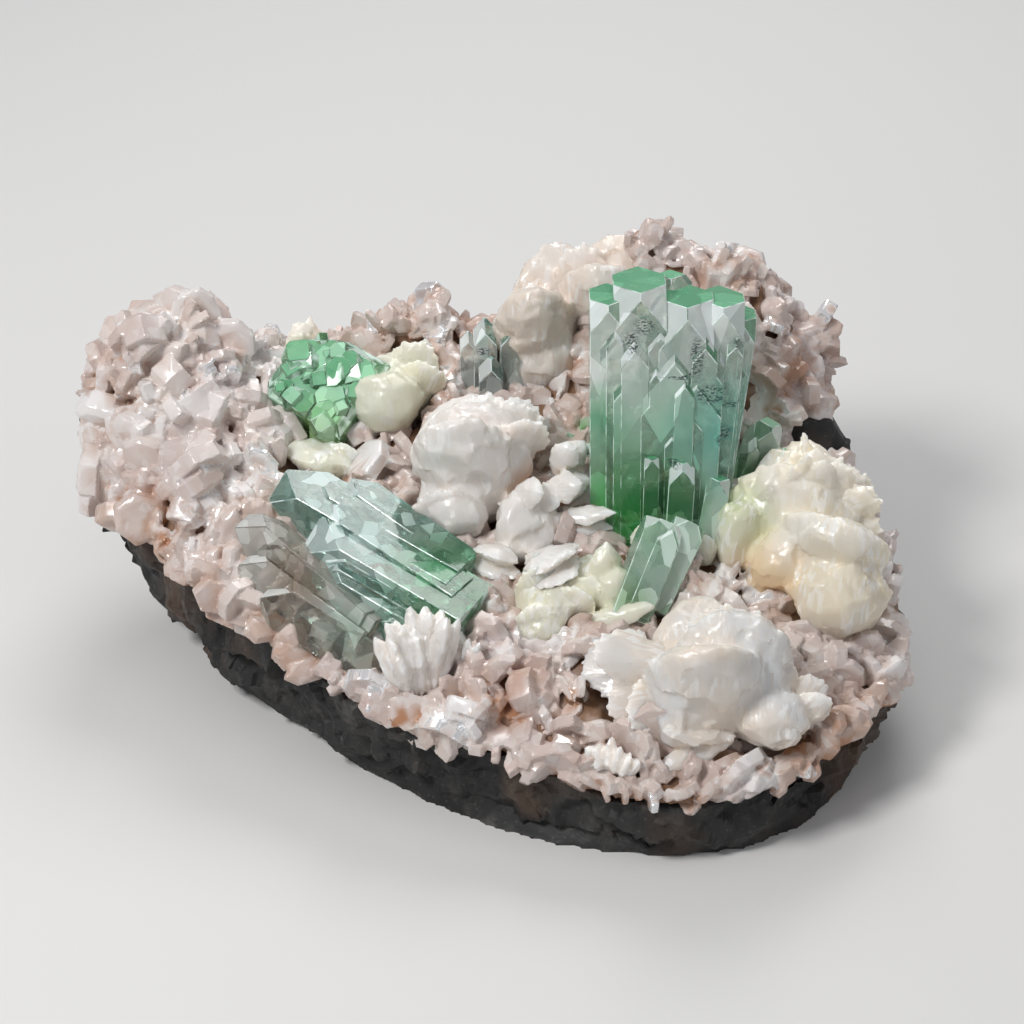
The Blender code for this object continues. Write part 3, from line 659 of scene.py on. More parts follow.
leafLooks = {
    "cream": dict(
        light=(0.82, 0.75, 0.61), deep=(0.78, 0.68, 0.50), second=(0.82, 0.78, 0.70), edge=(0.90, 0.88, 0.82),
        rough=0.25, milk=0.85,
        tints=(((50, -8, 32), 10, (0.80, 0.50, 0.20)), ((44, 0, 40), 9, (0.50, 0.60, 0.34)),
               ((62, -14, 28), 12, (0.74, 0.63, 0.46))),
    ),
    "peach": dict(
        light=(0.78, 0.71, 0.63), deep=(0.74, 0.63, 0.52), second=(0.70, 0.69, 0.67), edge=(0.86, 0.84, 0.82),
        rough=0.25, milk=0.85,
        tints=(((17, 38, 50), 9, (0.76, 0.42, 0.16)), ((44, -36, 24), 5, (0.78, 0.50, 0.30)),
               ((8, 42, 58), 18, (0.80, 0.69, 0.60)), ((20, 45, 62), 16, (0.80, 0.70, 0.62))),
    ),
    "pearly": dict(
        light=(0.84, 0.82, 0.78), deep=(0.77, 0.70, 0.64), second=(0.78, 0.74, 0.70), edge=(0.90, 0.90, 0.89),
        rough=0.22, milk=0.8,
        tints=(((5, 10, 40), 7, (0.70, 0.40, 0.22)), ((-5, 10, 48), 9, (0.76, 0.64, 0.60))),
    ),
    "greenish": dict(
        light=(0.80, 0.79, 0.65), deep=(0.73, 0.71, 0.53), second=(0.78, 0.77, 0.66), edge=(0.88, 0.88, 0.81),
        rough=0.25, milk=0.85, tints=(((26, -8, 32), 8, (0.48, 0.66, 0.40)),),
    ),
}
druseLook = dict(
    tones=((0.0, (0.56, 0.42, 0.35)), (0.35, (0.65, 0.53, 0.47)),
           (0.7, (0.74, 0.65, 0.60)), (0.92, (0.84, 0.81, 0.79))),
    mauve=(0.62, 0.52, 0.49), rust=(0.44, 0.18, 0.06), pale=(0.86, 0.83, 0.80),
    # rusty places in millimetres, with their reach
    patches=(((42, 41, 67), 8), ((59, 32, 53), 15), ((-68, 7, 35), 14), ((-52, -6, 30), 9),
             ((57, -35, 17), 14), ((2, -32, 24), 9), ((-10, 44, 49), 17), ((4, 12, 39), 6)),
)
crystalFinish = {name: makeCrystalFinish(name, look) for name, look in crystalLooks.items()}
leafFinish = {name: makeLeafFinish(name + "Stilbite", look) for name, look in leafLooks.items()}
druseFinish = makeDruseFinish("druseBlades", druseLook)
print("finishes made")


# Apophyllite: square prisms with steep corner faces, grown into each other

pyramidAngle = math.radians(60.4)  # between a pyramid face and the base


def growPrism(place, halfX, halfY, height, corner, foot=2.0, edge=0.12):
    # one prism, modelled upright in millimetres and then stood in its place
    bpy.ops.mesh.primitive_cube_add(size=2)
    piece = startPiece("prism")
    bpy.ops.transform.resize(value=(halfX, halfY, (height + foot) / 2))
    bpy.ops.transform.translate(value=(0, 0, (height - foot) / 2))
    side = math.sin(pyramidAngle) / math.sqrt(2)
    rise = math.cos(pyramidAngle)
    for x in (-1, 1):
        for y in (-1, 1):
            cleave((x * side, y * side, rise), side * (halfX + halfY) + rise * (height - corner))
    bpy.ops.mesh.select_all(action="SELECT")
    bpy.ops.mesh.bevel(offset=edge, segments=1, affect="EDGES")
    stopModelling()
    piece.data.transform(Matrix.Scale(mm, 4) @ place)
    return piece


def gradeFacets(piece, place, seed, squareTop):
    # each face is marked as a cap, an edge that the finish paints with a highlight, or a slanting corner
    # face, and gets a tone of its own
    normals = readValues(piece.data.polygons, "normal", 3)
    local = normals @ np.array(place.to_3x3())
    up = local[:, 2]
    flat = np.maximum(abs(local[:, 0]), abs(local[:, 1]))
    cap = up > 0.96
    side = (abs(up) < 0.25) & (flat > 0.95)
    cornerFace = (abs(up - math.cos(pyramidAngle)) < 0.16) & (flat < 0.80) & (flat > 0.42)
    edge = ~(cap | side | cornerFace)
    if squareTop:
        edge = (up > 0.55) & (up < 0.85) & (flat > 0.5)
    tones = np.random.default_rng(seed).random(len(normals))
    for label, values in (("cap", cap), ("edge", edge), ("slant", cornerFace), ("tone", tones)):
        keepNumbers(piece.data, label, values, "FACE")


def finishCluster(cluster, crystals):
    # crystals that cross each other become one body, whose faces are graded by how they lie to its axis
    piece, others = crystals[:2]
    pick(others)
    for crystal in crystals[2:]:
        crystal.select_set(True)
    bpy.ops.object.join()
    addModifier(piece, "BOOLEAN", operation="UNION", object=others, solver="EXACT", use_self=True)
    bpy.data.objects.remove(others)
    piece.name = cluster["name"]
    place = standOn((0, 0, 0), cluster["axis"], roll=cluster["roll"])
    gradeFacets(piece, place, cluster["seed"], cluster["squareTop"])
    dress(piece, crystalFinish[cluster["finish"]], cluster["slot"], cluster["node"])


def growCluster(cluster):
    # its prisms are given by root, axis, half width, half depth, height, corner and roll
    crystals = []
    for root, axis, halfX, halfY, height, corner, roll in cluster["prisms"]:
        crystals.append(growPrism(standOn(root, axis, roll=roll), halfX, halfY, height, corner))
    finishCluster(cluster, crystals)


mainCrystal = dict(
    name="mainApophyllite", finish="mainGreen", slot="green_apophyllite", node="apophyllite_main",
    base=(29.5, 10, 34), axis=(-0.01, 0.20, 0.98), roll=0, seed=1, squareTop=False,
    # tiny crystals beside it: root, axis, half width, height
    small=(((15.6, 24.6, 42.0), (0.2, -0.2, 1), 1.25, 4.2), ((13.9, 22.4, 41.0), (-0.5, -0.4, 1), 1.05, 3.4),
           ((15.3, 20.4, 40.0), (0.3, -0.6, 1), 1.15, 3.8), ((16.8, 22.2, 41.0), (0.6, -0.2, 1), 0.8, 3.6)),
    # across, back, half width, half depth, height, corner, lean
    prisms=(
        (1.0, 4.5, 12.0, 7.5, 36.0, 9, 0.00), (-9.8, 1.0, 3.3, 7.0, 42.5, 5, 0.00),
        (-4.0, 2.5, 4.8, 8.5, 44.5, 7, 0.00), (3.6, 1.5, 5.0, 8.5, 42.0, 8, 0.02),
        (8.6, 3.0, 4.2, 7.0, 41.0, 6, 0.06), (9.6, 3.5, 3.0, 5.5, 38.0, 4, 0.13),
        (-3.5, -4.5, 5.4, 3.6, 35.0, 9, 0.00), (5.0, -4.8, 4.8, 3.6, 31.0, 8, 0.04),
        (-2.2, -9.0, 1.4, 1.4, 16.5, 2, 0.02), (3.0, -8.6, 2.4, 2.2, 15.5, 4, 0.05),
        (8.6, -8.0, 2.2, 2.2, 12.0, 3, 0.16), (-2.0, -7.1, 1.9, 1.4, 28.5, 4.6, 0.00),
        (4.2, -7.3, 2.6, 1.4, 27.0, 6.0, 0.03), (1.8, -7.8, 1.4, 1.1, 21.5, 3.6, 0.00),
        (-7.6, -4.6, 1.9, 1.8, 37.0, 3.6, 0.00), (8.4, -3.2, 1.9, 2.2, 35.0, 4.6, 0.06),
        (11.0, 0.0, 1.6, 2.4, 32.0, 4.0, 0.12), (-0.4, -4.2, 2.2, 2.6, 40.5, 5.4, 0.00),
        (6.4, -4.4, 1.8, 2.4, 37.0, 4.6, 0.03), (-11.6, -3.6, 1.2, 1.8, 39.0, 2.6, 0.00),
        (-8.6, -5.8, 1.6, 1.2, 39.5, 3.2, 0.00), (-5.0, -6.8, 2.5, 1.5, 38.0, 5.0, 0.00),
        (1.4, -7.0, 2.6, 1.5, 36.0, 5.4, 0.02), (6.2, -6.4, 2.3, 1.6, 38.5, 4.8, 0.04),
        (3.4, -8.2, 1.8, 0.9, 31.5, 3.8, 0.02), (7.6, -6.4, 1.7, 1.5, 33.0, 3.6, 0.06),
        (9.8, -3.8, 1.5, 1.8, 37.0, 3.2, 0.10), (-1.2, -7.6, 1.2, 0.9, 33.0, 2.6, 0.00),
        (2.0, 8.0, 4.0, 3.6, 42.6, 6.0, 0.00), (-8.0, 6.5, 3.0, 3.0, 40.5, 4.0, 0.00),
        (8.0, 8.0, 3.0, 3.0, 38.5, 4.0, 0.06),
    ),
)


def makeMainCrystal():
    # a bundle of upright prisms that lean out a little
    axis = Vector(mainCrystal["axis"])
    crystals = []
    for x, y, halfX, halfY, height, corner, lean in mainCrystal["prisms"]:
        root = Vector(mainCrystal["base"]) + Vector((x, y, 0))
        crystals.append(growPrism(standOn(root, axis + Vector((lean, 0, 0))), halfX, halfY, height, corner))
    for root, axis, half, height in mainCrystal["small"]:
        crystals.append(growPrism(standOn(root, axis), half, half, height, 1.9 * half, edge=0.08))
    finishCluster(mainCrystal, crystals)


frontCrystal = dict(
    name="frontApophyllite", finish="smallGreen", slot="green_apophyllite", node="apophyllite_front",
    axis=(7, 13, 13), roll=12, seed=2, squareTop=False,
    prisms=(((23.5, -15, 30), (7, 13, 13), 3.6, 3.2, 17, 3, 12),
            ((27.5, -12, 30), (9, 13, 13), 3.0, 3.0, 15.5, 2.5, 12),
            ((25.0, -15.5, 31.0), (7.6, 13, 13), 2.2, 2.4, 15.0, 3.2, 12)),
)
sideCrystal = dict(
    name="sideApophyllite", finish="smallGreen", slot="green_apophyllite", node="apophyllite_side",
    axis=(0.3, 0.1, 0.94), roll=10, seed=3, squareTop=False,
    prisms=(((46, 17.5, 35), (0.30, 0.1, 0.94), 2.8, 2.6, 14, 4, 10),
            ((48.5, 15, 34), (0.40, -0.1, 0.9), 1.9, 1.9, 12, 3, 35),
            ((44.5, 16.0, 35), (0.22, -0.05, 0.95), 1.2, 1.4, 12.5, 3, 22)),
)
clearPlates = dict(
    name="clearPlates", finish="plates", slot="clear_apophyllite", node="apophyllite_plates",
    axis=(-23, 18, 9), roll=45, seed=6, squareTop=True,
    prisms=(((-26, -18, 29), (-21, 19, 8), 2.6, 4.8, 30, 6, 35),
            ((-27, -21.5, 27), (-25, 19, 8), 2.0, 4.2, 26, 5, 50),
            ((-23, -24.5, 25), (-27, 16, 8), 2.2, 3.8, 24, 5, 60),
            ((-25, -20, 29), (-23, 18, 9), 1.2, 4.0, 25, 5, 42)),
)
crystalRow = dict(
    name="rowApophyllite", finish="clear", slot="clear_apophyllite", node="apophyllite_row",
    axis=(0, 0.04, 1), roll=4, seed=7, squareTop=False,
    prisms=(((3.0, 36.5, 44.5), (0, 0.04, 1), 3.4, 3.4, 19.0, 7.82, 4),
            ((-3.2, 36.5, 44.5), (0, 0.04, 1), 2.2, 2.2, 15.5, 5.06, 4),
            ((-6.4, 36.8, 44.5), (0, 0.04, 1), 1.6, 1.6, 12.5, 3.68, 4),
            ((-2.2, 33.2, 44), (0.02, 0, 1), 2.3, 2.0, 9.5, 4.5, 4)),
)
squatCrystal = dict(
    name="squatApophyllite", finish="squatGreen", slot="green_apophyllite", node="apophyllite_squat",
    root=(-33.5, 35.4, 43.4), axis=(0.02, -0.56, 0.83), roll=58, seed=4, squareTop=True,
    half=9.0, height=11.0, foot=5, bevel=1.9, slope=0.15,
    # cuts round the top: direction seen from above it, distance from its middle
    cuts=((32, 7.2), (75, 10.6), (122, 10.4), (190, 11.6), (-80, 11.4)),
    # its top: steps a side, how they stray, their rise above the body, tilt and turn in degrees
    grid=5, stepSeed=5, stray=0.35, relief=1.3, sink=0.9, tilt=8, turn=14, stepFoot=-6,
)


def makeSquatCrystal():
    # a thick crystal with a broad bevel and a top that is a mosaic of many small steps
    s = squatCrystal
    place = standOn(s["root"], s["axis"], roll=s["roll"])
    bpy.ops.mesh.primitive_cube_add(size=2)
    body = startPiece("squat")
    top = s["height"] - s["sink"]
    bpy.ops.transform.resize(value=(s["half"], s["half"], (top + s["foot"]) / 2))
    bpy.ops.transform.translate(value=(0, 0, (top - s["foot"]) / 2))
    for x, y in ((1, 0), (-1, 0), (0, 1), (0, -1)):
        cleave((x, y, 1), (s["half"] + top - s["bevel"]) / math.sqrt(2))
    cuts = [(math.cos(math.radians(turn)), math.sin(math.radians(turn)), reach) for turn, reach in s["cuts"]]
    for x, y, reach in cuts:
        cleave((x, y, s["slope"]), reach + s["slope"] * s["height"])
    bpy.ops.mesh.select_all(action="SELECT")
    bpy.ops.mesh.bevel(offset=0.2, segments=1, affect="EDGES")
    stopModelling()
    body.data.transform(Matrix.Scale(mm, 4) @ place)
    crystals = [body]
    draw = random.Random(s["stepSeed"])
    edge = s["half"] - s["bevel"]
    pitch = 2 * edge / s["grid"]
    for row in range(s["grid"]):
        for column in range(s["grid"]):
            x = -edge + pitch * (row + 0.5) + draw.uniform(-s["stray"], s["stray"]) * pitch
            y = -edge + pitch * (column + 0.5) + draw.uniform(-s["stray"], s["stray"]) * pitch
            room = min(reach - x * cutX - y * cutY for cutX, cutY, reach in cuts)
            if room < 1.2:
                continue
            half = min(draw.uniform(0.7, 1.15) * pitch, s["half"] - 0.7 - max(abs(x), abs(y)), 0.8 * room)
            if half < 0.6:
                continue
            rise = s["height"] + draw.uniform(-0.4, 0.6) * s["relief"]
            lean = Matrix.Rotation(math.radians(draw.gauss(0, s["tilt"])), 4, "X")
            lean = lean @ Matrix.Rotation(math.radians(draw.gauss(0, s["tilt"])), 4, "Y")
            turn = Matrix.Rotation(math.radians(draw.gauss(0, s["turn"])), 4, "Z")
            seat = place @ Matrix.Translation((x, y, 0)) @ lean @ turn
            corner = half * draw.uniform(0.7, 1.6)
            depth = half * draw.uniform(0.7, 1.0)
            crystals.append(growPrism(seat, half, depth, rise, corner, s["stepFoot"], 0.08))
    finishCluster(s, crystals)


reclinedCrystal = dict(
    name="reclinedApophyllite", finish="reclinedTeal", slot="teal_apophyllite", node="apophyllite_reclined",
    axis=(-34, 21, 9), roll=20, seed=5, squareTop=False,
    # root, half width, half depth, height, corner, change of direction
    prisms=(
        ((-7.0, -17.5, 30.0), 6.0, 5.2, 32, 8, (0, 0, 0)), ((-9.5, -10.5, 33.0), 5.2, 4.2, 37, 6, (-2, 1, 0)),
        ((-10.5, -21.5, 28.0), 4.2, 3.8, 26, 6, (0, 0, 0)), ((-8.0, -7.5, 35.5), 3.0, 2.0, 26, 4, (3, 3, 0)),
        ((-9.0, -14.5, 33.5), 3.4, 3.0, 29, 6, (1, 1, 1)),
        ((-12.0, -18.0, 31.5), 2.6, 3.0, 23, 5, (-1, -1, 1)),
    ),
    # small prisms along the sides of the first three, and how far they stand out
    steps=34, stepSeed=8, proud=(0.15, 0.6),
)


def makeReclinedCrystal():
    s = reclinedCrystal
    seats = [standOn(prism[0], Vector(s["axis"]) + Vector(prism[5]), roll=s["roll"]) for prism in s["prisms"]]
    crystals = [growPrism(seat, *prism[1:5]) for seat, prism in zip(seats, s["prisms"])]
    draw = random.Random(s["stepSeed"])
    for step in range(s["steps"]):
        halfX, halfY, height = s["prisms"][step % 3][1:4]
        half = draw.uniform(0.8, 2.2)
        if step % 2:
            x = draw.uniform(-1, 1) * (halfX - half)
            y = draw.choice((-1, 1)) * (halfY - half + draw.uniform(*s["proud"]))
        else:
            x = draw.choice((-1, 1)) * (halfX - half + draw.uniform(*s["proud"]))
            y = draw.uniform(-1, 1) * (halfY - half)
        seat = seats[step % 3] @ Matrix.Translation((x, y, 0))
        length = height * draw.uniform(0.25, 0.95)
        depth = half * draw.uniform(0.6, 1.2)
        crystals.append(growPrism(seat, half, depth, length, half * draw.uniform(1.0, 2.2), edge=0.1))
    finishCluster(s, crystals)


makeMainCrystal()
growCluster(frontCrystal)
growCluster(sideCrystal)
makeSquatCrystal()
makeReclinedCrystal()
growCluster(clearPlates)
growCluster(crystalRow)
print("apophyllite grown")


# Stilbite: leaves with toothed crowns, stacked into sheaves and mounds

leafShapes = {
    "pillow": dict(points=84, root=0.80, tip=1.0, teeth=0.05, notch=0.04, dome=0.47, bulge=2.6),
    "fan": dict(points=72, root=0.50, tip=1.0, teeth=0.085, notch=0.08, dome=0.46, bulge=2.0),
    "spear": dict(points=36, root=0.60, tip=0.14, teeth=0.03, notch=0.02, dome=0.46, bulge=1.8),
    "blade": dict(points=40, root=0.60, tip=0.55, teeth=0.04, notch=0.05, dome=0.44, bulge=2.4),
}
leafRings = (1.0, 0.93, 0.83, 0.70, 0.50, 0.25)
# how a leaf narrows: up to or from a share of its length, by a share of what its root or tip loses
rootSteps = ((0.45, 0.35), (0.25, 0.4), (0.10, 0.25))
tipSteps = ((0.62, 0.25), (0.75, 0.35), (0.86, 0.45), (0.94, 0.6))


def modelLeaf(name, look, seed):
    # a leaf one unit wide, long and thick: a rounded upper face, its rim, the same below, then its teeth
    draw = random.Random(seed)
    count = look["points"]
    dome = look["dome"]
    piece = startPolygon(name, count)
    for outer, inner in zip(leafRings, leafRings[1:]):
        bpy.ops.mesh.inset(thickness=(outer - inner) * 0.5, depth=0)
        lift = outer ** look["bulge"] - inner ** look["bulge"]
        bpy.ops.transform.translate(value=(0, 0, dome * lift))
    bpy.ops.mesh.poke(offset=0)
    bpy.ops.mesh.select_all(action="SELECT")
    bpy.ops.transform.translate(value=(0, 0, 0.5 - dome))
    bpy.ops.mesh.select_mode(type="EDGE")
    bpy.ops.mesh.select_all(action="DESELECT")
    bpy.ops.mesh.select_non_manifold(
        extend=False, use_wire=False, use_boundary=True, use_multi_face=False, use_non_contiguous=False,
        use_verts=False,
    )
    bpy.ops.mesh.extrude_edges_move(TRANSFORM_OT_translate={"value": (0, 0, dome - 0.5)})
    bpy.ops.mesh.select_mode(type="VERT")
    stopModelling()
    addModifier(piece, "MIRROR", use_axis=(False, False, True), merge_threshold=1e-4)
    startModelling()
    bpy.ops.mesh.normals_make_consistent(inside=False)

    def step(place):
        return round(math.atan2(place.y - 0.5, place.x) / (2 * math.pi) * count) % count

    def rim(place):
        return math.hypot(place.x, place.y - 0.5)

    start = 0
    while start < count:
        width = draw.randrange(4, 9)
        lobe = range(start, min(count, start + width))
        grow = 1 - look["notch"] * draw.random()
        selectPoints(piece, lambda place: place.y > 0.15 and rim(place) > 0.38 and step(place) in lobe)
        bpy.ops.transform.resize(value=(grow, grow, 1), center_override=(0, 0.5, 0))
        start += width
    teeth = [(point // 2) % 2 == 0 or draw.random() < 0.2 for point in range(count)]
    selectPoints(piece, lambda place: place.y > 0.2 and rim(place) > 0.43 and teeth[step(place)])
    bpy.ops.transform.resize(value=(1 - look["teeth"], 1 - look["teeth"], 1), center_override=(0, 0.5, 0))
    for level, share in rootSteps:
        selectPoints(piece, lambda place: place.y < level)
        bpy.ops.transform.resize(value=(1 - (1 - look["root"]) * share, 1, 1), center_override=(0, 0, 0))
    for level, share in tipSteps:
        selectPoints(piece, lambda place: place.y > level)
        bpy.ops.transform.resize(value=(1 - (1 - look["tip"]) * share, 1, 1), center_override=(0, 0, 0))
    stopModelling()
    return readKind(piece)


leafKinds = modelKinds(leafShapes, modelLeaf, 10)


def squareTo(axis, normal):
    # the direction of normal that is square to axis, which has length 1
    normal = Vector(normal)
    return (normal - axis * axis.dot(normal)).normalized()


def leafPlace(root, axis, normal):
    # leaf's Y along axis, its Z along normal
    y = Vector(axis).normalized()
    z = squareTo(y, normal)
    x = y.cross(z)
    return Matrix.Translation(Vector(root)) @ Matrix((x, y, z)).transposed().to_4x4()


# sway and twist are degrees that each leaf strays by; pairs are least and most, as shares of the nominal
fanShape = dict(
    sway=2, twist=10, shorter=0.20, narrower=0.28, length=(0.9, 1.04), width=(0.84, 1.06), thick=(0.9, 1.2),
    apart=0.38, overlap=1.9,
)
moundShape = dict(
    sway=3, twist=14, backLoss=0.16, frontLoss=0.06, length=(0.92, 1.04), width=(0.86, 1.05),
    thick=(0.9, 1.15), long=1.96, broad=2.1, overlap=3.9, low=0.95, apart=0.44, aside=0.10, kinds=("pillow",),
)


def strayed(draw, shape, axis, facing, lean):
    # a leaf's own axis and facing, turned by lean degrees and a little more
    turn = Matrix.Rotation(
        math.radians(lean + draw.uniform(-shape["sway"], shape["sway"])), 3, axis.cross(facing)
    )
    twist = Matrix.Rotation(math.radians(draw.uniform(-shape["twist"], shape["twist"])), 3, facing)
    return turn @ twist @ axis, turn @ facing


def fanLeaves(root, axis, normal, size, count, spread, kinds, seed, thin=1.0):
    # leaves side by side along normal, which share a root and spread out by spread degrees either way
    # size is (width, length, thickness) in all
    draw = random.Random(seed)
    axis = Vector(axis).normalized()
    normal = squareTo(axis, normal)
    width, length, depth = size
    shape = fanShape
    leaves = []
    for step in range(count):
        place = 2 * (step + 0.5) / count - 1
        leafAxis, leafNormal = strayed(draw, shape, axis, normal, spread * place)
        reach = length * (1 - shape["shorter"] * place * place) * draw.uniform(*shape["length"])
        broad = width * (1 - shape["narrower"] * place * place) * draw.uniform(*shape["width"])
        start = Vector(root) + normal * place * depth * shape["apart"]
        thick = thin * shape["overlap"] * depth / (count + 1) * draw.uniform(*shape["thick"])
        kind = draw.choice(kinds) + str(draw.randrange(versions))
        seat = leafPlace(start, leafAxis, leafNormal)
        leaves.append((kind, seat, (broad, reach, thick), draw.random(), place, 0.0))
    return leaves


def moundLeaves(centre, radii, axis, facing, count, spread, seed):
    # a rounded body made of thick leaves that stand one behind the other; radii are across, through and along
    across, through, along = radii
    draw = random.Random(seed)
    axis = Vector(axis).normalized()
    facing = squareTo(axis, facing)
    hinge = axis.cross(facing)
    shape = moundShape
    leaves = []
    for step in range(count):
        place = 2 * (step + 0.5) / count - 1
        share = 1 - shape["backLoss"] * place * place if place < 0 else 1 - shape["frontLoss"] * place
        leafAxis, leafFacing = strayed(draw, shape, axis, facing, spread * place)
        length = shape["long"] * along * share * draw.uniform(*shape["length"])
        width = shape["broad"] * across * share * draw.uniform(*shape["width"])
        root = Vector(centre) - axis * along * shape["low"] * (0.4 + 0.6 * share)
        root += facing * place * through * shape["apart"]
        root += hinge * across * draw.uniform(-shape["aside"], shape["aside"])
        thick = shape["overlap"] * through / count * draw.uniform(*shape["thick"])
        kind = draw.choice(shape["kinds"]) + str(draw.randrange(versions))
        seat = leafPlace(root, leafAxis, leafFacing)
        leaves.append((kind, seat, (width, length, thick), draw.random(), place, 0.0))
    return leaves


towardsViewer = (0, -1, 0.45)
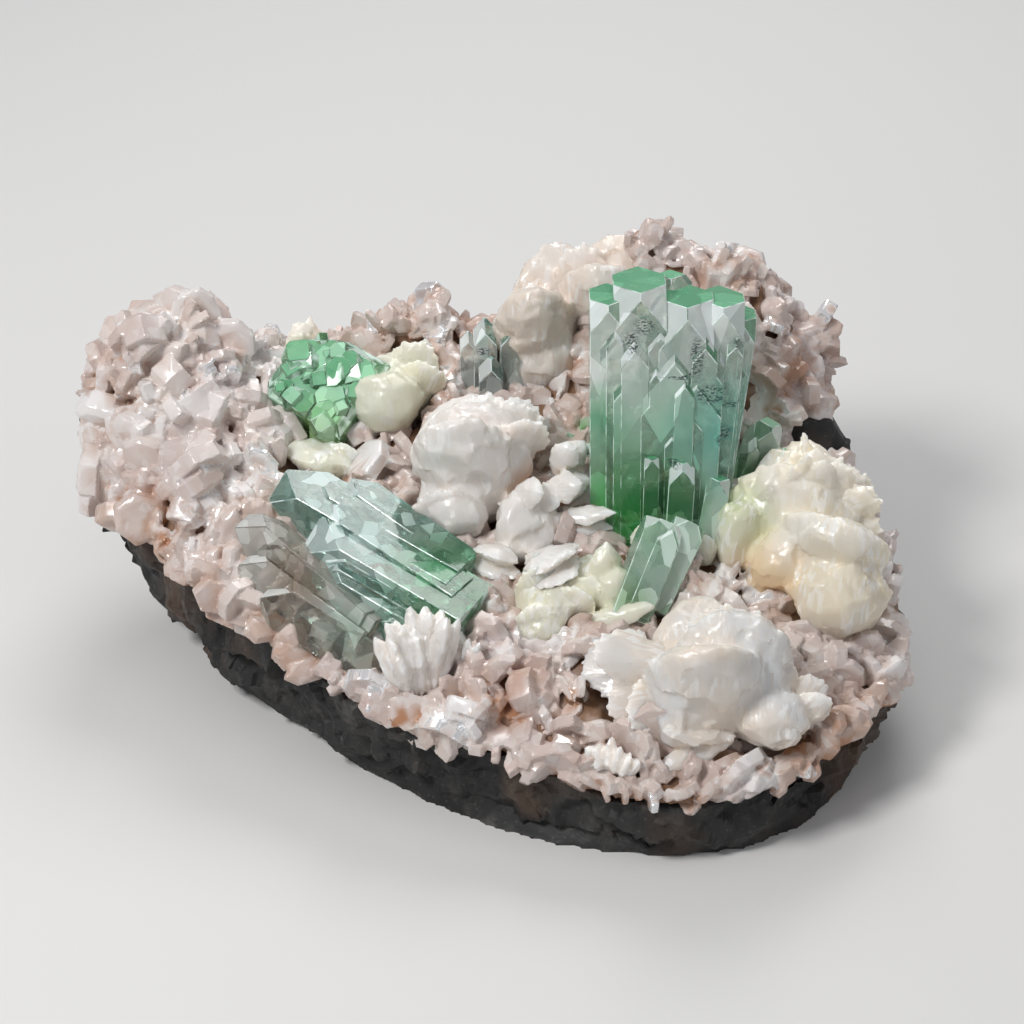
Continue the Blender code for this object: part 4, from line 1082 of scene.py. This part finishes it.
# mounds: centre, radii, axis, facing, leaves, spread, seed
# fans: root, axis, facing, size, leaves, spread, kinds, seed and, where they're thick, how much
sheaves = {
    "rightStilbite": dict(
        finish="cream", slot="cream_stilbite", node="stilbite_right",
        mounds=(
            ((56.5, 0.5, 36), (12.8, 9.5, 14.5), (0.10, 0.12, 1), (-0.15, -1, 0.35), 3, 4, 1),
            ((62.0, -9.0, 31), (10.6, 8.0, 10.0), (0.1, 0, 1), (-0.1, -1, 0.4), 2, 5, 2),
            ((47.0, 1, 35), (5, 6, 9), (0.35, 0.1, 1), (-0.5, -1, 0.3), 2, 8, 3),
            ((51.0, -4, 33), (7, 5, 9), (0.35, 0.0, 1), (-0.4, -1, 0.3), 2, 6, 4),
        ),
        fans=tuple(
            ((56, ahead, 35), (math.sin(math.radians(angle)), 0.15, math.cos(math.radians(angle))),
             (0, -1, 0.25), (width, reach, 5), 2, 4, (kind,), 10 + angle)
            for angle, reach, width, kind, ahead in (
                (-12, 17.6, 10, "spear", 3.0), (2, 19.0, 10, "spear", 4.0), (14, 18.0, 11, "blade", 2.5),
                (30, 17.4, 12, "fan", 3.5), (46, 16.8, 11, "fan", 2.5), (62, 16.2, 11, "fan", 3.5),
                (80, 15.8, 9, "fan", 2.5), (-34, 14.0, 8, "fan", 1.0),
            )
        ) + (
            ((61, -10, 27), (0.85, 0.0, 0.55), (-0.1, -1, 0.4), (11, 11.0, 4), 2, 5, ("fan",), 5),
            ((60, -13, 28), (-0.3, -0.1, 1), (-0.1, -1, 0.4), (10, 9.0, 4), 1, 0, ("fan",), 6),
        ),
    ),
    "lowerRightStilbite": dict(
        finish="peach", slot="peach_stilbite", node="stilbite_lower_right",
        mounds=(
            ((38.5, -32, 28), (11.8, 9, 13), (0, 0.25, 1), towardsViewer, 3, 4, 21),
            ((46.0, -36, 23), (8.0, 6, 6), (-0.1, 0.3, 1), (0.2, -1, 0.7), 2, 10, 23),
            ((34, -37, 25), (7.5, 5, 8), (-0.3, 0.2, 1), (0.0, -1, 0.6), 2, 8, 28),
        ),
        fans=(
            ((33, -30, 28), (-0.95, 0.22, 0.0), (-0.1, -0.6, 1), (15, 20, 6), 3, 6, ("fan",), 24),
            ((34, -34, 25), (-0.90, -0.22, -0.05), (-0.2, -0.9, 0.7), (13, 16, 6), 3, 6, ("fan",), 27),
            ((41, -41, 21.5), (-0.95, -0.3, 0.05), (0, -0.6, 1), (6, 16, 3.0), 2, 6, ("blade",), 25),
            ((51, -35, 20), (0.5, 0.1, 0.9), (0.3, -1, 0.4), (10, 11, 6), 2, 12, ("fan",), 26),
            ((47, -40, 19), (0.3, -0.1, 0.9), (0.2, -1, 0.5), (9, 9, 5), 2, 12, ("fan",), 29),
            ((38.5, -30, 26), (0.25, 0.25, 1), (0.0, -1, 0.4), (18, 16.4, 5), 1, 0, ("fan",), 30),
        ),
    ),
    "backStilbite": dict(
        finish="peach", slot="peach_stilbite", node="stilbite_back",
        mounds=(
            ((8, 42, 54.5), (9.2, 6, 16), (0, 0, 1), (0.1, -1, 0.1), 2, 3, 31),
            ((20, 45, 60), (8.5, 6, 12), (0, 0, 1), (-0.1, -1, 0.1), 2, 3, 32),
            ((7, 40, 50), (8, 5, 9), (0.3, 0, 1), (0.2, -1, 0.2), 2, 5, 33),
            ((21, 44, 55), (8, 5, 10), (-0.1, 0, 1), (-0.2, -1, 0.1), 2, 5, 34),
        ),
        fans=(
            ((8, 41.0, 46), (0.3, 0.0, 1), (0.2, -1, 0.1), (9, 14, 3), 1, 0, ("blade",), 35),
            ((19, 46, 52), (-0.1, 0.0, 1), (-0.2, -1, 0.1), (12, 19, 4), 1, 0, ("fan",), 36),
        ),
    ),
    "leftBackStilbite": dict(
        finish="cream", slot="cream_stilbite", node="stilbite_left_back", mounds=(),
        fans=(((-38, 43, 41), (0.05, 0.0, 1), (0.2, -1, 0.3), (9, 16, 7), 4, 9, ("fan", "spear"), 41),),
    ),
    "behindSquatStilbite": dict(
        finish="greenish", slot="green_stilbite", node="stilbite_behind_squat",
        mounds=(
            ((-21.5, 31, 46), (7.5, 5, 8.4), (0, 0, 1), towardsViewer, 2, 6, 51),
            ((-18, 33, 45), (6, 4, 7), (0.2, 0, 1), towardsViewer, 2, 6, 53),
        ),
        fans=(((-18, 35, 42), (0.30, 0.1, 1), (0.1, -0.9, 0.4), (14, 14.5, 6), 3, 7, ("fan",), 52),),
    ),
    "underSquatStilbite": dict(
        finish="greenish", slot="green_stilbite", node="stilbite_under_squat",
        mounds=(((-34, 20, 39.5), (8, 3.6, 3.4), (0.1, 0.2, 1), (0, -1, 0.6), 2, 8, 61),),
        fans=(((-31, 19, 37.5), (0.5, 0.0, 1), (0, -1, 0.6), (9, 6.0, 3), 1, 0, ("fan",), 62),),
    ),
    "centralStilbite": dict(
        finish="pearly", slot="pearly_stilbite", node="stilbite_central",
        mounds=(
            ((-6.5, 12, 44.5), (11, 7.5, 13.4), (-0.1, 0.25, 1), (-0.15, -1, 0.5), 3, 4, 71),
            ((-9.5, 4.5, 38.5), (6.5, 4.5, 6.2), (0, 0.1, 1), (-0.1, -1, 0.6), 2, 6, 72),
            ((4.5, 2, 36.5), (8.0, 5, 5.0), (0.5, -0.7, 0.3), (0, -0.5, 1), 2, 8, 73),
        ),
        fans=(
            ((-2, 13.5, 42), (-0.25, 0.25, 1), (-0.1, -1, 0.5), (17, 15.5, 5), 1, 0, ("fan",), 70),
            ((1, 14, 41), (0.25, 0.12, 1), (0.25, -1, 0.5), (14, 16.5, 6), 3, 8, ("blade", "fan"), 75),
            ((-9.5, 2.5, 33.5), (-0.15, -0.05, 1), (-0.1, -1, 0.6), (13, 11.5, 3), 1, 0, ("fan",), 80),
            ((5.5, -4, 33), (0.5, -0.75, 0.2), (0, -0.3, 1), (14, 14, 6), 3, 8, ("fan",), 74),
            ((0.5, -3, 34), (-0.3, -0.8, 0.2), (0, -0.3, 1), (11, 9, 5), 2, 8, ("fan",), 85),
            ((8, 7, 41), (0.9, -0.2, 0.25), (0.1, -0.9, 0.8), (7, 10, 5), 2, 12, ("blade",), 76),
            ((3, 6, 41), (0.7, -0.5, 0.3), (-0.1, -0.9, 0.8), (7, 9, 5), 2, 12, ("blade",), 78),
            ((10, 10, 43), (0.6, 0.0, 0.8), (-0.1, -1, 0.5), (7, 9, 5), 2, 16, ("blade", "fan"), 79),
            ((9, 3, 37.5), (0.97, -0.1, 0.05), (0, -0.5, 1), (6, 14, 2.8), 2, 5, ("spear",), 77),
        ),
    ),
    "plateStilbite": dict(
        finish="greenish", slot="green_stilbite", node="stilbite_plates",
        mounds=(
            ((10.5, -11.5, 30.0), (7.5, 5, 6), (0.2, -0.2, 1), (0, -1, 0.7), 2, 8, 81),
            ((7, -16, 27.5), (6, 4, 4.0), (0, 0, 1), (0, -1, 0.6), 2, 8, 82),
            ((18.0, -10, 31.5), (4.6, 4, 6.5), (0.1, 0.25, 1), (0.2, -1, 0.3), 2, 5, 83),
        ),
        fans=(
            ((9, -11, 28), (-0.3, 0.1, 1), (0, -1, 0.6), (12, 11, 4), 2, 6, ("fan",), 86),
            ((12, -14, 28), (0.5, -0.1, 1), (0, -1, 0.6), (10, 9.5, 4), 2, 6, ("fan",), 87),
            ((7, -17.5, 25.5), (-0.2, -0.1, 1), (0, -1, 0.6), (10, 8.0, 3), 1, 0, ("fan",), 88),
            ((18.5, -12, 28), (0.1, 0.25, 1), (0.3, -1, 0.2), (9, 13, 3.6), 1, 0, ("blade",), 89),
            ((15, -17, 28.5), (1, -0.05, 0.1), (0, -0.5, 1), (7, 15, 3.6), 2, 5, ("blade",), 84),
        ),
    ),
    "leftLeaf": dict(
        finish="greenish", slot="green_stilbite", node="stilbite_leaf_left", mounds=(),
        fans=(((25.5, -1, 32), (0.1, 0.1, 1), (0.2, -1, 0.2), (6, 7, 2.6), 1, 0, ("pillow",), 91),),
    ),
    "rightLeaf": dict(
        finish="greenish", slot="green_stilbite", node="stilbite_leaf_right", mounds=(),
        fans=(((37, -3, 31), (0.0, 0.1, 1), (-0.2, -1, 0.2), (6, 7, 2.6), 1, 0, ("pillow",), 92),),
    ),
    "whiteSheaf": dict(
        finish="pearly", slot="pearly_stilbite", node="stilbite_white_sheaf", mounds=(),
        fans=(
            ((-14, -30.5, 22.5), (-0.08, 0.22, 1), (0.95, 0.30, 0), (5, 15, 11), 7, 5, ("fan",), 101, 1.35),
            ((-13.6, -28.5, 23.0), (-0.04, 0.25, 1), (0.95, 0.30, 0), (5, 15.8, 10), 6, 4, ("blade", "fan"),
             104, 1.3),
            ((-14.4, -26.5, 24.0), (-0.04, 0.20, 1), (0.95, 0.30, 0), (5, 13.8, 9), 6, 5, ("fan",), 105, 1.3),
        ),
    ),
    "smallSheaf": dict(
        finish="pearly", slot="pearly_stilbite", node="stilbite_small_sheaf", mounds=(),
        fans=(((-7, -25, 23.5), (0.05, 0.1, 1), (0.9, -0.4, 0), (4.6, 8.5, 5), 4, 8, ("fan",), 102, 1.2),),
    ),
    "pearlyBall": dict(
        finish="pearly", slot="pearly_stilbite", node="stilbite_pearly_ball", mounds=(),
        fans=(
            ((19.5, -44.5, 16.5), (0.0, -0.2, 1), (1, -0.3, 0), (6, 7.5, 7), 6, 26, ("blade", "fan"), 103),
        ),
    ),
}


# voxels and depths in millimetres; core is the body that a sheaf's mounds melt into
leafBody = dict(
    voxel=0.38, keep=0.6, facet=3.0, facetPull=0.6, facetTilt=0.08, facetDepth=0.25,
    waves=3.2, waveDepth=0.35, waveMiddle=0.5, roundBelow=34,
    coreVoxel=0.55, coreMelt=14, coreFacet=4.5, corePull=0.75, coreTilt=0.10, coreDepth=0.55, coreTone=0.6,
    coreUnit=100,
)


def meltLeaves(name, mounds):
    # the thick leaves of the mounds melt into one waxy body, which is kept as a shape with one copy
    body = leafBody
    centre, radii, axis, facing = mounds[0][:4]
    copies = [leaf for mound in mounds for leaf in moundLeaves(*mound)]
    piece = growTogether(name + "Core", leafKinds, copies, body["coreVoxel"])
    addModifier(piece, "SMOOTH", factor=0.5, iterations=body["coreMelt"])
    cutFacets(piece, body["coreFacet"], body["corePull"], body["coreTilt"], body["coreDepth"], len(name))
    seat = leafPlace(centre, axis, facing)
    back = np.array(seat.inverted())
    shape = readKind(piece)
    shape["points"] = (shape["points"] / mm @ back[:3, :3].T + back[:3, 3]) / body["coreUnit"]
    leafKinds[name + "Core"] = shape
    return (name + "Core", seat, (body["coreUnit"],) * 3, body["coreTone"], 0.0, 0.0)


def makeSheaf(name, sheaf):
    body = leafBody
    copies = []
    if sheaf["mounds"]:
        copies.append(meltLeaves(name, sheaf["mounds"]))
    for fan in sheaf["fans"]:
        copies += fanLeaves(*fan)
    piece = growTogether(name, leafKinds, copies, body["voxel"], True, body["keep"])
    addWaves(piece, name + "Waves", body["waves"], body["waveDepth"], body["waveMiddle"])
    cutFacets(piece, body["facet"], body["facetPull"], body["facetTilt"], body["facetDepth"], len(name))
    smooth(piece, body["roundBelow"])
    dress(piece, leafFinish[sheaf["finish"]], sheaf["slot"], sheaf["node"])
    print(name, len(copies), "leaves,", len(piece.data.polygons), "faces")


for name, sheaf in sheaves.items():
    makeSheaf(name, sheaf)
print("stilbite stacked")


# Druse: small tabular crystals in bunches all over the crust

druse = dict(
    # where crystals may stand, in millimetres: a try is left out near another or below a solid
    seed=12, tries=40000, spacing=2.05, clearance=1.2,
    # bunches that lean alike, and how much they and their crystals stray
    bunches=380, bunchSize=(0.78, 1.2), lean=0.60, stray=0.30, toneStray=0.25, paintedSheenShare=0.035,
    # crystals: kinds and their shares, sizes, how far they sink in and how far they may pass the solids
    kinds=("hexagon", "coffin", "block", "slat"), shares=(5, 4, 3, 0.5), sizes=(4.4, 7.4), leftGrowth=1.25,
    sunk=0.12, behind=0.30, girth=0.35, proud=0.9, upright=0.15, lift=0.3,
    voxel=0.42, keep=0.36, leftOf=-30, frontOf=8,
    # bare pits: place and reach
    pits=(((-75.8, 17.7, 41.4), 2.6), ((-68.7, 16.7, 41.2), 1.8), ((-64.9, 26.9, 52.0), 2.0),
          ((-70.5, 29.6, 54.1), 1.8), ((15.4, -35.7, 22.3), 3.6), ((5.0, 10.6, 39.1), 2.4)),
    # crystals that stand out: kind, root, axis, facing, size, tone (1 gets a painted silvery sheen)
    accents=(
        ("hexagon0", (-58.5, 38, 57.0), (0.1, 0.1, 1), (0.2, -1, 0.4), (9.0, 8.5, 5.5), 0.86),
        ("hexagon1", (-51.7, 35, 52.0), (0.3, 0.1, 1), (-0.1, -1, 0.5), (9.0, 8.0, 5.5), 0.88),
        ("hexagon2", (-54.0, 37, 52.5), (0.6, 0.1, 1), (0.1, -1, 0.3), (7.0, 8.0, 4.5), 0.84),
        ("block0", (-56.5, 29.5, 50.5), (0.3, -0.2, 1), (-0.4, -1, 0.8), (6.5, 6.5, 4.5), 1.0),
        ("block1", (-59.5, 25.5, 47.5), (-0.2, -0.2, 1), (0.4, -1, 0.7), (6.5, 5.5, 4.5), 1.0),
        ("block2", (-51.7, 30.5, 49.5), (0.3, -0.1, 1), (0.2, -1, 0.5), (4.0, 6.5, 5.5), 1.0),
        ("block0", (-55.5, 34.0, 53.5), (-0.3, 0.1, 1), (0.1, -1, 0.8), (5.0, 4.5, 4.5), 1.0),
        ("block1", (-54.0, 25.0, 46.5), (0.5, -0.2, 1), (-0.2, -1, 0.5), (6.0, 5.0, 4.0), 1.0),
        ("block2", (-73.5, 27.0, 43.0), (-0.5, -0.3, 1), (-0.7, -1, 0.5), (11, 10, 9.0), 0.90),
        ("slat0", (-48.5, 20.5, 41.5), (0.95, 0.2, 0.3), (0.1, -0.8, 1), (3.4, 6.2, 5.5), 0.90),
        ("hexagon1", (-46.5, 16.5, 38.0), (0.5, -0.3, 1), (0.2, -1, 0.8), (8.0, 7.0, 3.2), 1.0),
        ("hexagon0", (54.1, -17.0, 22.5), (0.1, -0.1, 1), (-0.1, -1, 0.7), (8.0, 7.2, 5.0), 0.62),
        ("hexagon2", (58.6, -10.0, 24.0), (0.5, 0.1, 1), (0.2, -1, 0.5), (7.0, 6.5, 5.0), 0.55),
        ("hexagon1", (52.0, -24.5, 20.5), (-0.2, -0.1, 1), (0.3, -1, 0.8), (6.6, 7.0, 4.6), 0.58),
        ("hexagon0", (60.7, -23.0, 19.5), (0.3, -0.3, 1), (0.1, -1, 0.7), (8.0, 7.0, 5.5), 0.66),
        ("hexagon2", (49.5, -10.7, 25.0), (-0.1, 0.0, 1), (0.1, -1, 0.6), (6.5, 6.5, 4.6), 0.97),
        ("hexagon1", (64.5, -17.0, 20.5), (0.6, -0.1, 1), (0.5, -1, 0.7), (7.0, 7.0, 5.5), 0.50),
        ("slat1", (41.0, -6.5, 28.0), (0.3, -0.2, 1), (0.1, -1, 0.3), (3.6, 6.4, 5.5), 0.60),
        ("slat2", (43.5, -8.5, 28.0), (-0.6, -0.2, 0.8), (0.1, -1, 0.3), (3.6, 6.0, 5.5), 0.58),
        ("slat0", (39.0, -9.0, 28.0), (0.7, -0.2, 0.7), (0.1, -1, 0.3), (3.2, 6.0, 5.5), 0.50),
        ("block1", (7.0, -7.0, 29.5), (0.2, -0.6, 0.7), (0.1, -0.7, 1), (13, 8, 6), 0.30),
        ("coffin0", (-2.0, -17.0, 26.5), (0.2, 0.1, 1), (-0.3, -1, 0.5), (5.5, 6.5, 6), 0.90),
    ),
)
plateShapes = {
    "hexagon": dict(points=7, width=1.0, length=1.0, thick=0.34, shift=0.07),
    "coffin": dict(points=6, width=0.7, length=1.2, thick=0.30, shift=0.06),
    "block": dict(points=6, width=0.85, length=0.9, thick=0.55, shift=0.08),
    "slat": dict(points=6, width=0.40, length=1.3, thick=0.24, shift=0.04),
}
rimWidth = 0.10


def modelPlate(name, look, seed):
    # a small tabular crystal with slanting rims, about one unit across
    draw = random.Random(seed)
    piece = startPolygon(name, look["points"])
    shape = bmesh.from_edit_mesh(piece.data)
    for vertex in shape.verts:
        vertex.co += Vector((draw.uniform(-1, 1), draw.uniform(-1, 1), 0)) * look["shift"]
    bmesh.update_edit_mesh(piece.data)
    bpy.ops.transform.resize(value=(look["width"], look["length"], 1), center_override=(0, 0, 0))
    thick = look["thick"]
    bpy.ops.mesh.extrude_region_move(TRANSFORM_OT_translate={"value": (0, 0, 0.5 * thick)})
    bpy.ops.mesh.inset(thickness=rimWidth, depth=0)
    bpy.ops.transform.translate(value=(0, 0, 0.2 * thick))
    selectPoints(piece, lambda place: place.z < 0.01)
    bpy.ops.transform.translate(value=(0, 0, -0.3 * thick))
    bpy.ops.mesh.select_all(action="DESELECT")
    shape = bmesh.from_edit_mesh(piece.data)
    for face in shape.faces:
        face.select_set(all(vertex.co.z < -0.1 * thick for vertex in face.verts))
    bmesh.update_edit_mesh(piece.data)
    bpy.ops.mesh.inset(thickness=rimWidth, depth=0)
    bpy.ops.transform.translate(value=(0, 0, -0.2 * thick))
    bpy.ops.mesh.select_all(action="SELECT")
    bpy.ops.mesh.normals_make_consistent(inside=False)
    stopModelling()
    return readKind(piece)


plateKinds = modelKinds(plateShapes, modelPlate, 7)


def crustPlaces():
    # evenly spread points on the open side of the crust, with their normals, in millimetres
    crust = copyOfNode("druse_crust", "crustCopy")
    crust.data.calc_loop_triangles()
    corner = np.array([vertex.co for vertex in crust.data.vertices]) / mm
    faces = np.array([face.vertices[:] for face in crust.data.loop_triangles])
    a, b, c = corner[faces[:, 0]], corner[faces[:, 1]], corner[faces[:, 2]]
    normals = np.cross(b - a, c - a)
    areas = np.linalg.norm(normals, axis=1)
    normals /= np.maximum(areas, 1e-9)[:, None]
    obstacles = []
    for name, node in cadNodes.items():
        if name != "druse_crust":
            points = [vertex.co / mm for vertex in node.data.vertices]
            obstacles.append(BVHTree.FromPolygons(points, [face.vertices[:] for face in node.data.polygons]))
    draw = np.random.default_rng(druse["seed"])
    chosen = draw.choice(len(faces), druse["tries"], p=areas / areas.sum())
    u, v = draw.random(druse["tries"]), draw.random(druse["tries"])
    flip = u + v > 1
    u[flip], v[flip] = 1 - u[flip], 1 - v[flip]
    spots = a[chosen] + u[:, None] * (b - a)[chosen] + v[:, None] * (c - a)[chosen]
    places = []
    taken = {}
    cell = druse["spacing"]
    for spot, normal in zip(spots, normals[chosen]):
        key = tuple(int(math.floor(value / cell)) for value in spot)
        cells = itertools.product(*((value - 1, value, value + 1) for value in key))
        if any(sum((spot - other) ** 2) < cell * cell for near in cells for other in taken.get(near, ())):
            continue
        start = Vector(spot) + Vector(normal) * 0.05
        if any(tree.ray_cast(start, Vector(normal), druse["clearance"])[0] is not None for tree in obstacles):
            continue
        taken.setdefault(key, []).append(spot)
        places.append((Vector(spot), Vector(normal)))
    bpy.data.objects.remove(crust)
    return places


def anyWay(draw):
    return Vector((draw.gauss(0, 1), draw.gauss(0, 1), draw.gauss(0, 1)))


def drawBunches(draw, places):
    # each bunch's axis, facing, size and tone, and a finder of the nearest bunch
    bunches = []
    finder = KDTree(druse["bunches"])
    for index in range(druse["bunches"]):
        spot, normal = draw.choice(places)
        finder.insert(spot, index)
        axis = normal + druse["lean"] * anyWay(draw)
        facing = anyWay(draw)
        size = draw.uniform(*druse["bunchSize"]) ** 2
        bunches.append((axis.normalized(), facing.normalized(), size, draw.random()))
    finder.balance()
    return bunches, finder


def makeDruse():
    draw = random.Random(druse["seed"])
    low, high = Vector(cadBox[0]) / mm, Vector(cadBox[1]) / mm
    places = crustPlaces()
    bunches, finder = drawBunches(draw, places)
    groups = {"leftDruse": [], "rightDruse": [], "frontDruse": []}
    for spot, normal in places:
        if any((spot - Vector(centre)).length < reach for centre, reach in druse["pits"]):
            continue
        bunchAxis, bunchFacing, bunchSize, bunchTone = bunches[finder.find(spot)[1]]
        if draw.random() * bunchSize > 1:
            continue
        left = spot.x < druse["leftOf"]
        kind = draw.choices(druse["kinds"], druse["shares"])[0] + str(draw.randrange(versions))
        size = draw.uniform(*druse["sizes"]) * bunchSize * (druse["leftGrowth"] if left else 1)
        axis = (bunchAxis + anyWay(draw) * druse["stray"]).normalized()
        if axis.dot(normal) < druse["upright"]:
            axis = (axis + normal * (druse["lift"] - axis.dot(normal))).normalized()
        facing = bunchFacing + anyWay(draw) * druse["stray"]
        root = spot - normal * druse["sunk"] * size - axis * druse["behind"] * size
        tip = root + axis * size
        for i in range(3):
            root[i] -= max(0.0, tip[i] + druse["girth"] * size - high[i] - druse["proud"])
            root[i] += max(0.0, low[i] - druse["proud"] - tip[i] + druse["girth"] * size)
        group = "leftDruse" if left else ("frontDruse" if spot.y < druse["frontOf"] else "rightDruse")
        tone = min(0.9, max(0, bunchTone + draw.uniform(-druse["toneStray"], druse["toneStray"])))
        # a few crystals get a painted silvery sheen
        if draw.random() < druse["paintedSheenShare"]:
            tone = 1.0
        stain = min(1, max(0, 0.9 - 1.3 * normal.z + draw.uniform(-0.2, 0.2)))  # the lower slopes are rustier
        groups[group].append((kind, leafPlace(root, axis, facing), (size, size, size), tone, 0.0, stain))
    for kind, root, axis, facing, size, tone in druse["accents"]:
        group = "leftDruse" if root[0] < druse["leftOf"] else "frontDruse"
        groups[group].append((kind, leafPlace(root, axis, facing), size, tone, 0.0, 0.0))
    for name, copies in groups.items():
        piece = growTogether(name, plateKinds, copies, druse["voxel"], True, druse["keep"])
        smooth(piece, 24)
        dress(piece, druseFinish, "druse", "druse_crust")
        print(name, len(copies), "crystals,", len(piece.data.polygons), "faces")


crustBed = dict(voxel=1.1, lumps=2.5, lumpDepth=1.6, lumpMiddle=0.85)


def makeCrustBed():
    piece = copyOfNode("druse_crust", "crustBed")
    addModifier(piece, "REMESH", mode="VOXEL", voxel_size=crustBed["voxel"] * mm)
    addWaves(piece, "crustLumps", crustBed["lumps"], crustBed["lumpDepth"], crustBed["lumpMiddle"])
    smooth(piece, 40)
    dress(piece, makeBedFinish(), "druse", "druse_crust")


makeDruse()
makeCrustBed()
print("druse spread")


# Basalt: broken rock with chips, ledges and a sawn foot

basalt = dict(
    voxel=0.9, ledges=9.0, ledgePull=0.95, ledgeDepth=2.2, chips=3.4, chipPull=0.9, chipDepth=0.6,
    wander=0.30, grit=1.2, gritDepth=0.35, gritMiddle=0.6, foot=0.8,
)


def makeBasalt():
    piece = copyOfNode("basalt_matrix", "basaltRock")
    addModifier(piece, "REMESH", mode="VOXEL", voxel_size=basalt["voxel"] * mm)
    group = piece.vertex_groups.new(name="broken")
    shares = []
    for vertex in piece.data.vertices:
        side = 1 - min(1, max(0, (vertex.normal.z - 0.1) / 0.3))  # 0 where the rock looks up
        lift = min(1, max(0, (vertex.co.z / mm - basalt["foot"]) / 2.5))  # 0 on the sawn foot
        shares.append(side * lift)
        group.add([vertex.index], side * lift, "REPLACE")
    broken, wander = np.array(shares), basalt["wander"]
    cutFacets(piece, basalt["ledges"], basalt["ledgePull"], wander, basalt["ledgeDepth"], 61, broken)
    cutFacets(piece, basalt["chips"], basalt["chipPull"], wander, basalt["chipDepth"], 62, broken)
    addWaves(
        piece, "grit", basalt["grit"], basalt["gritDepth"], basalt["gritMiddle"], vertex_group="broken",
    )
    smooth(piece, 18)
    dress(piece, makeBasaltFinish(), "basalt", "basalt_matrix")
    print("basalt broken:", len(piece.data.polygons), "faces")


makeBasalt()


# Floor, light and camera

studio = dict(
    floor=(0.74, 0.73, 0.71), sky=(0.86, 0.90, 1.0), skyStrength=0.22,
    target=(2, 0, 41), distance=520, elevation=35, lens=100,
    # place in millimetres, size, power in watts
    lamps=(((-340, -250, 560), 170, 2.7), ((420, -260, 380), 380, 0.35),
           ((60, 420, 520), 300, 1.6), ((-40, -60, 760), 420, 0.5)),
)


def makeStudio():
    bpy.ops.mesh.primitive_grid_add(x_subdivisions=8, y_subdivisions=8, size=6)
    floor = startPiece("floor")
    selectPoints(floor, lambda place: place.y > 2.0)
    bpy.ops.transform.translate(value=(0, 0, 1.2))
    stopModelling()
    graph = Graph("paleFloor")
    graph.shade(Base_Color=studio["floor"], Roughness=0.85, Specular_IOR_Level=0.0)
    floor.data.materials.append(graph.material)
    smooth(floor, 80)
    target = Vector(studio["target"]) * mm
    for index, (place, size, power) in enumerate(studio["lamps"]):
        lamp = bpy.data.lights.new("softbox" + str(index), "AREA")
        lamp.size = size * mm
        lamp.energy = power
        stand = addObject("softbox" + str(index), lamp)
        stand.location = Vector(place) * mm
        stand.rotation_euler = (target - stand.location).to_track_quat("-Z", "Y").to_euler()
    world = bpy.data.worlds.new("studio")
    world.use_nodes = True
    sky = world.node_tree.nodes["Background"]
    sky.inputs["Color"].default_value = (*studio["sky"], 1)
    sky.inputs["Strength"].default_value = studio["skyStrength"]
    scene.world = world
    slant = math.radians(studio["elevation"])
    camera = bpy.data.cameras.new("camera")
    camera.lens = studio["lens"]
    camera.clip_start = 0.01
    stand = addObject("camera", camera)
    stand.location = target + Vector((0, -math.cos(slant), math.sin(slant))) * studio["distance"] * mm
    stand.rotation_euler = (math.pi / 2 - slant, 0, 0)
    scene.camera = stand
    scene.view_settings.view_transform = "Standard"


makeStudio()
print("scene ready")
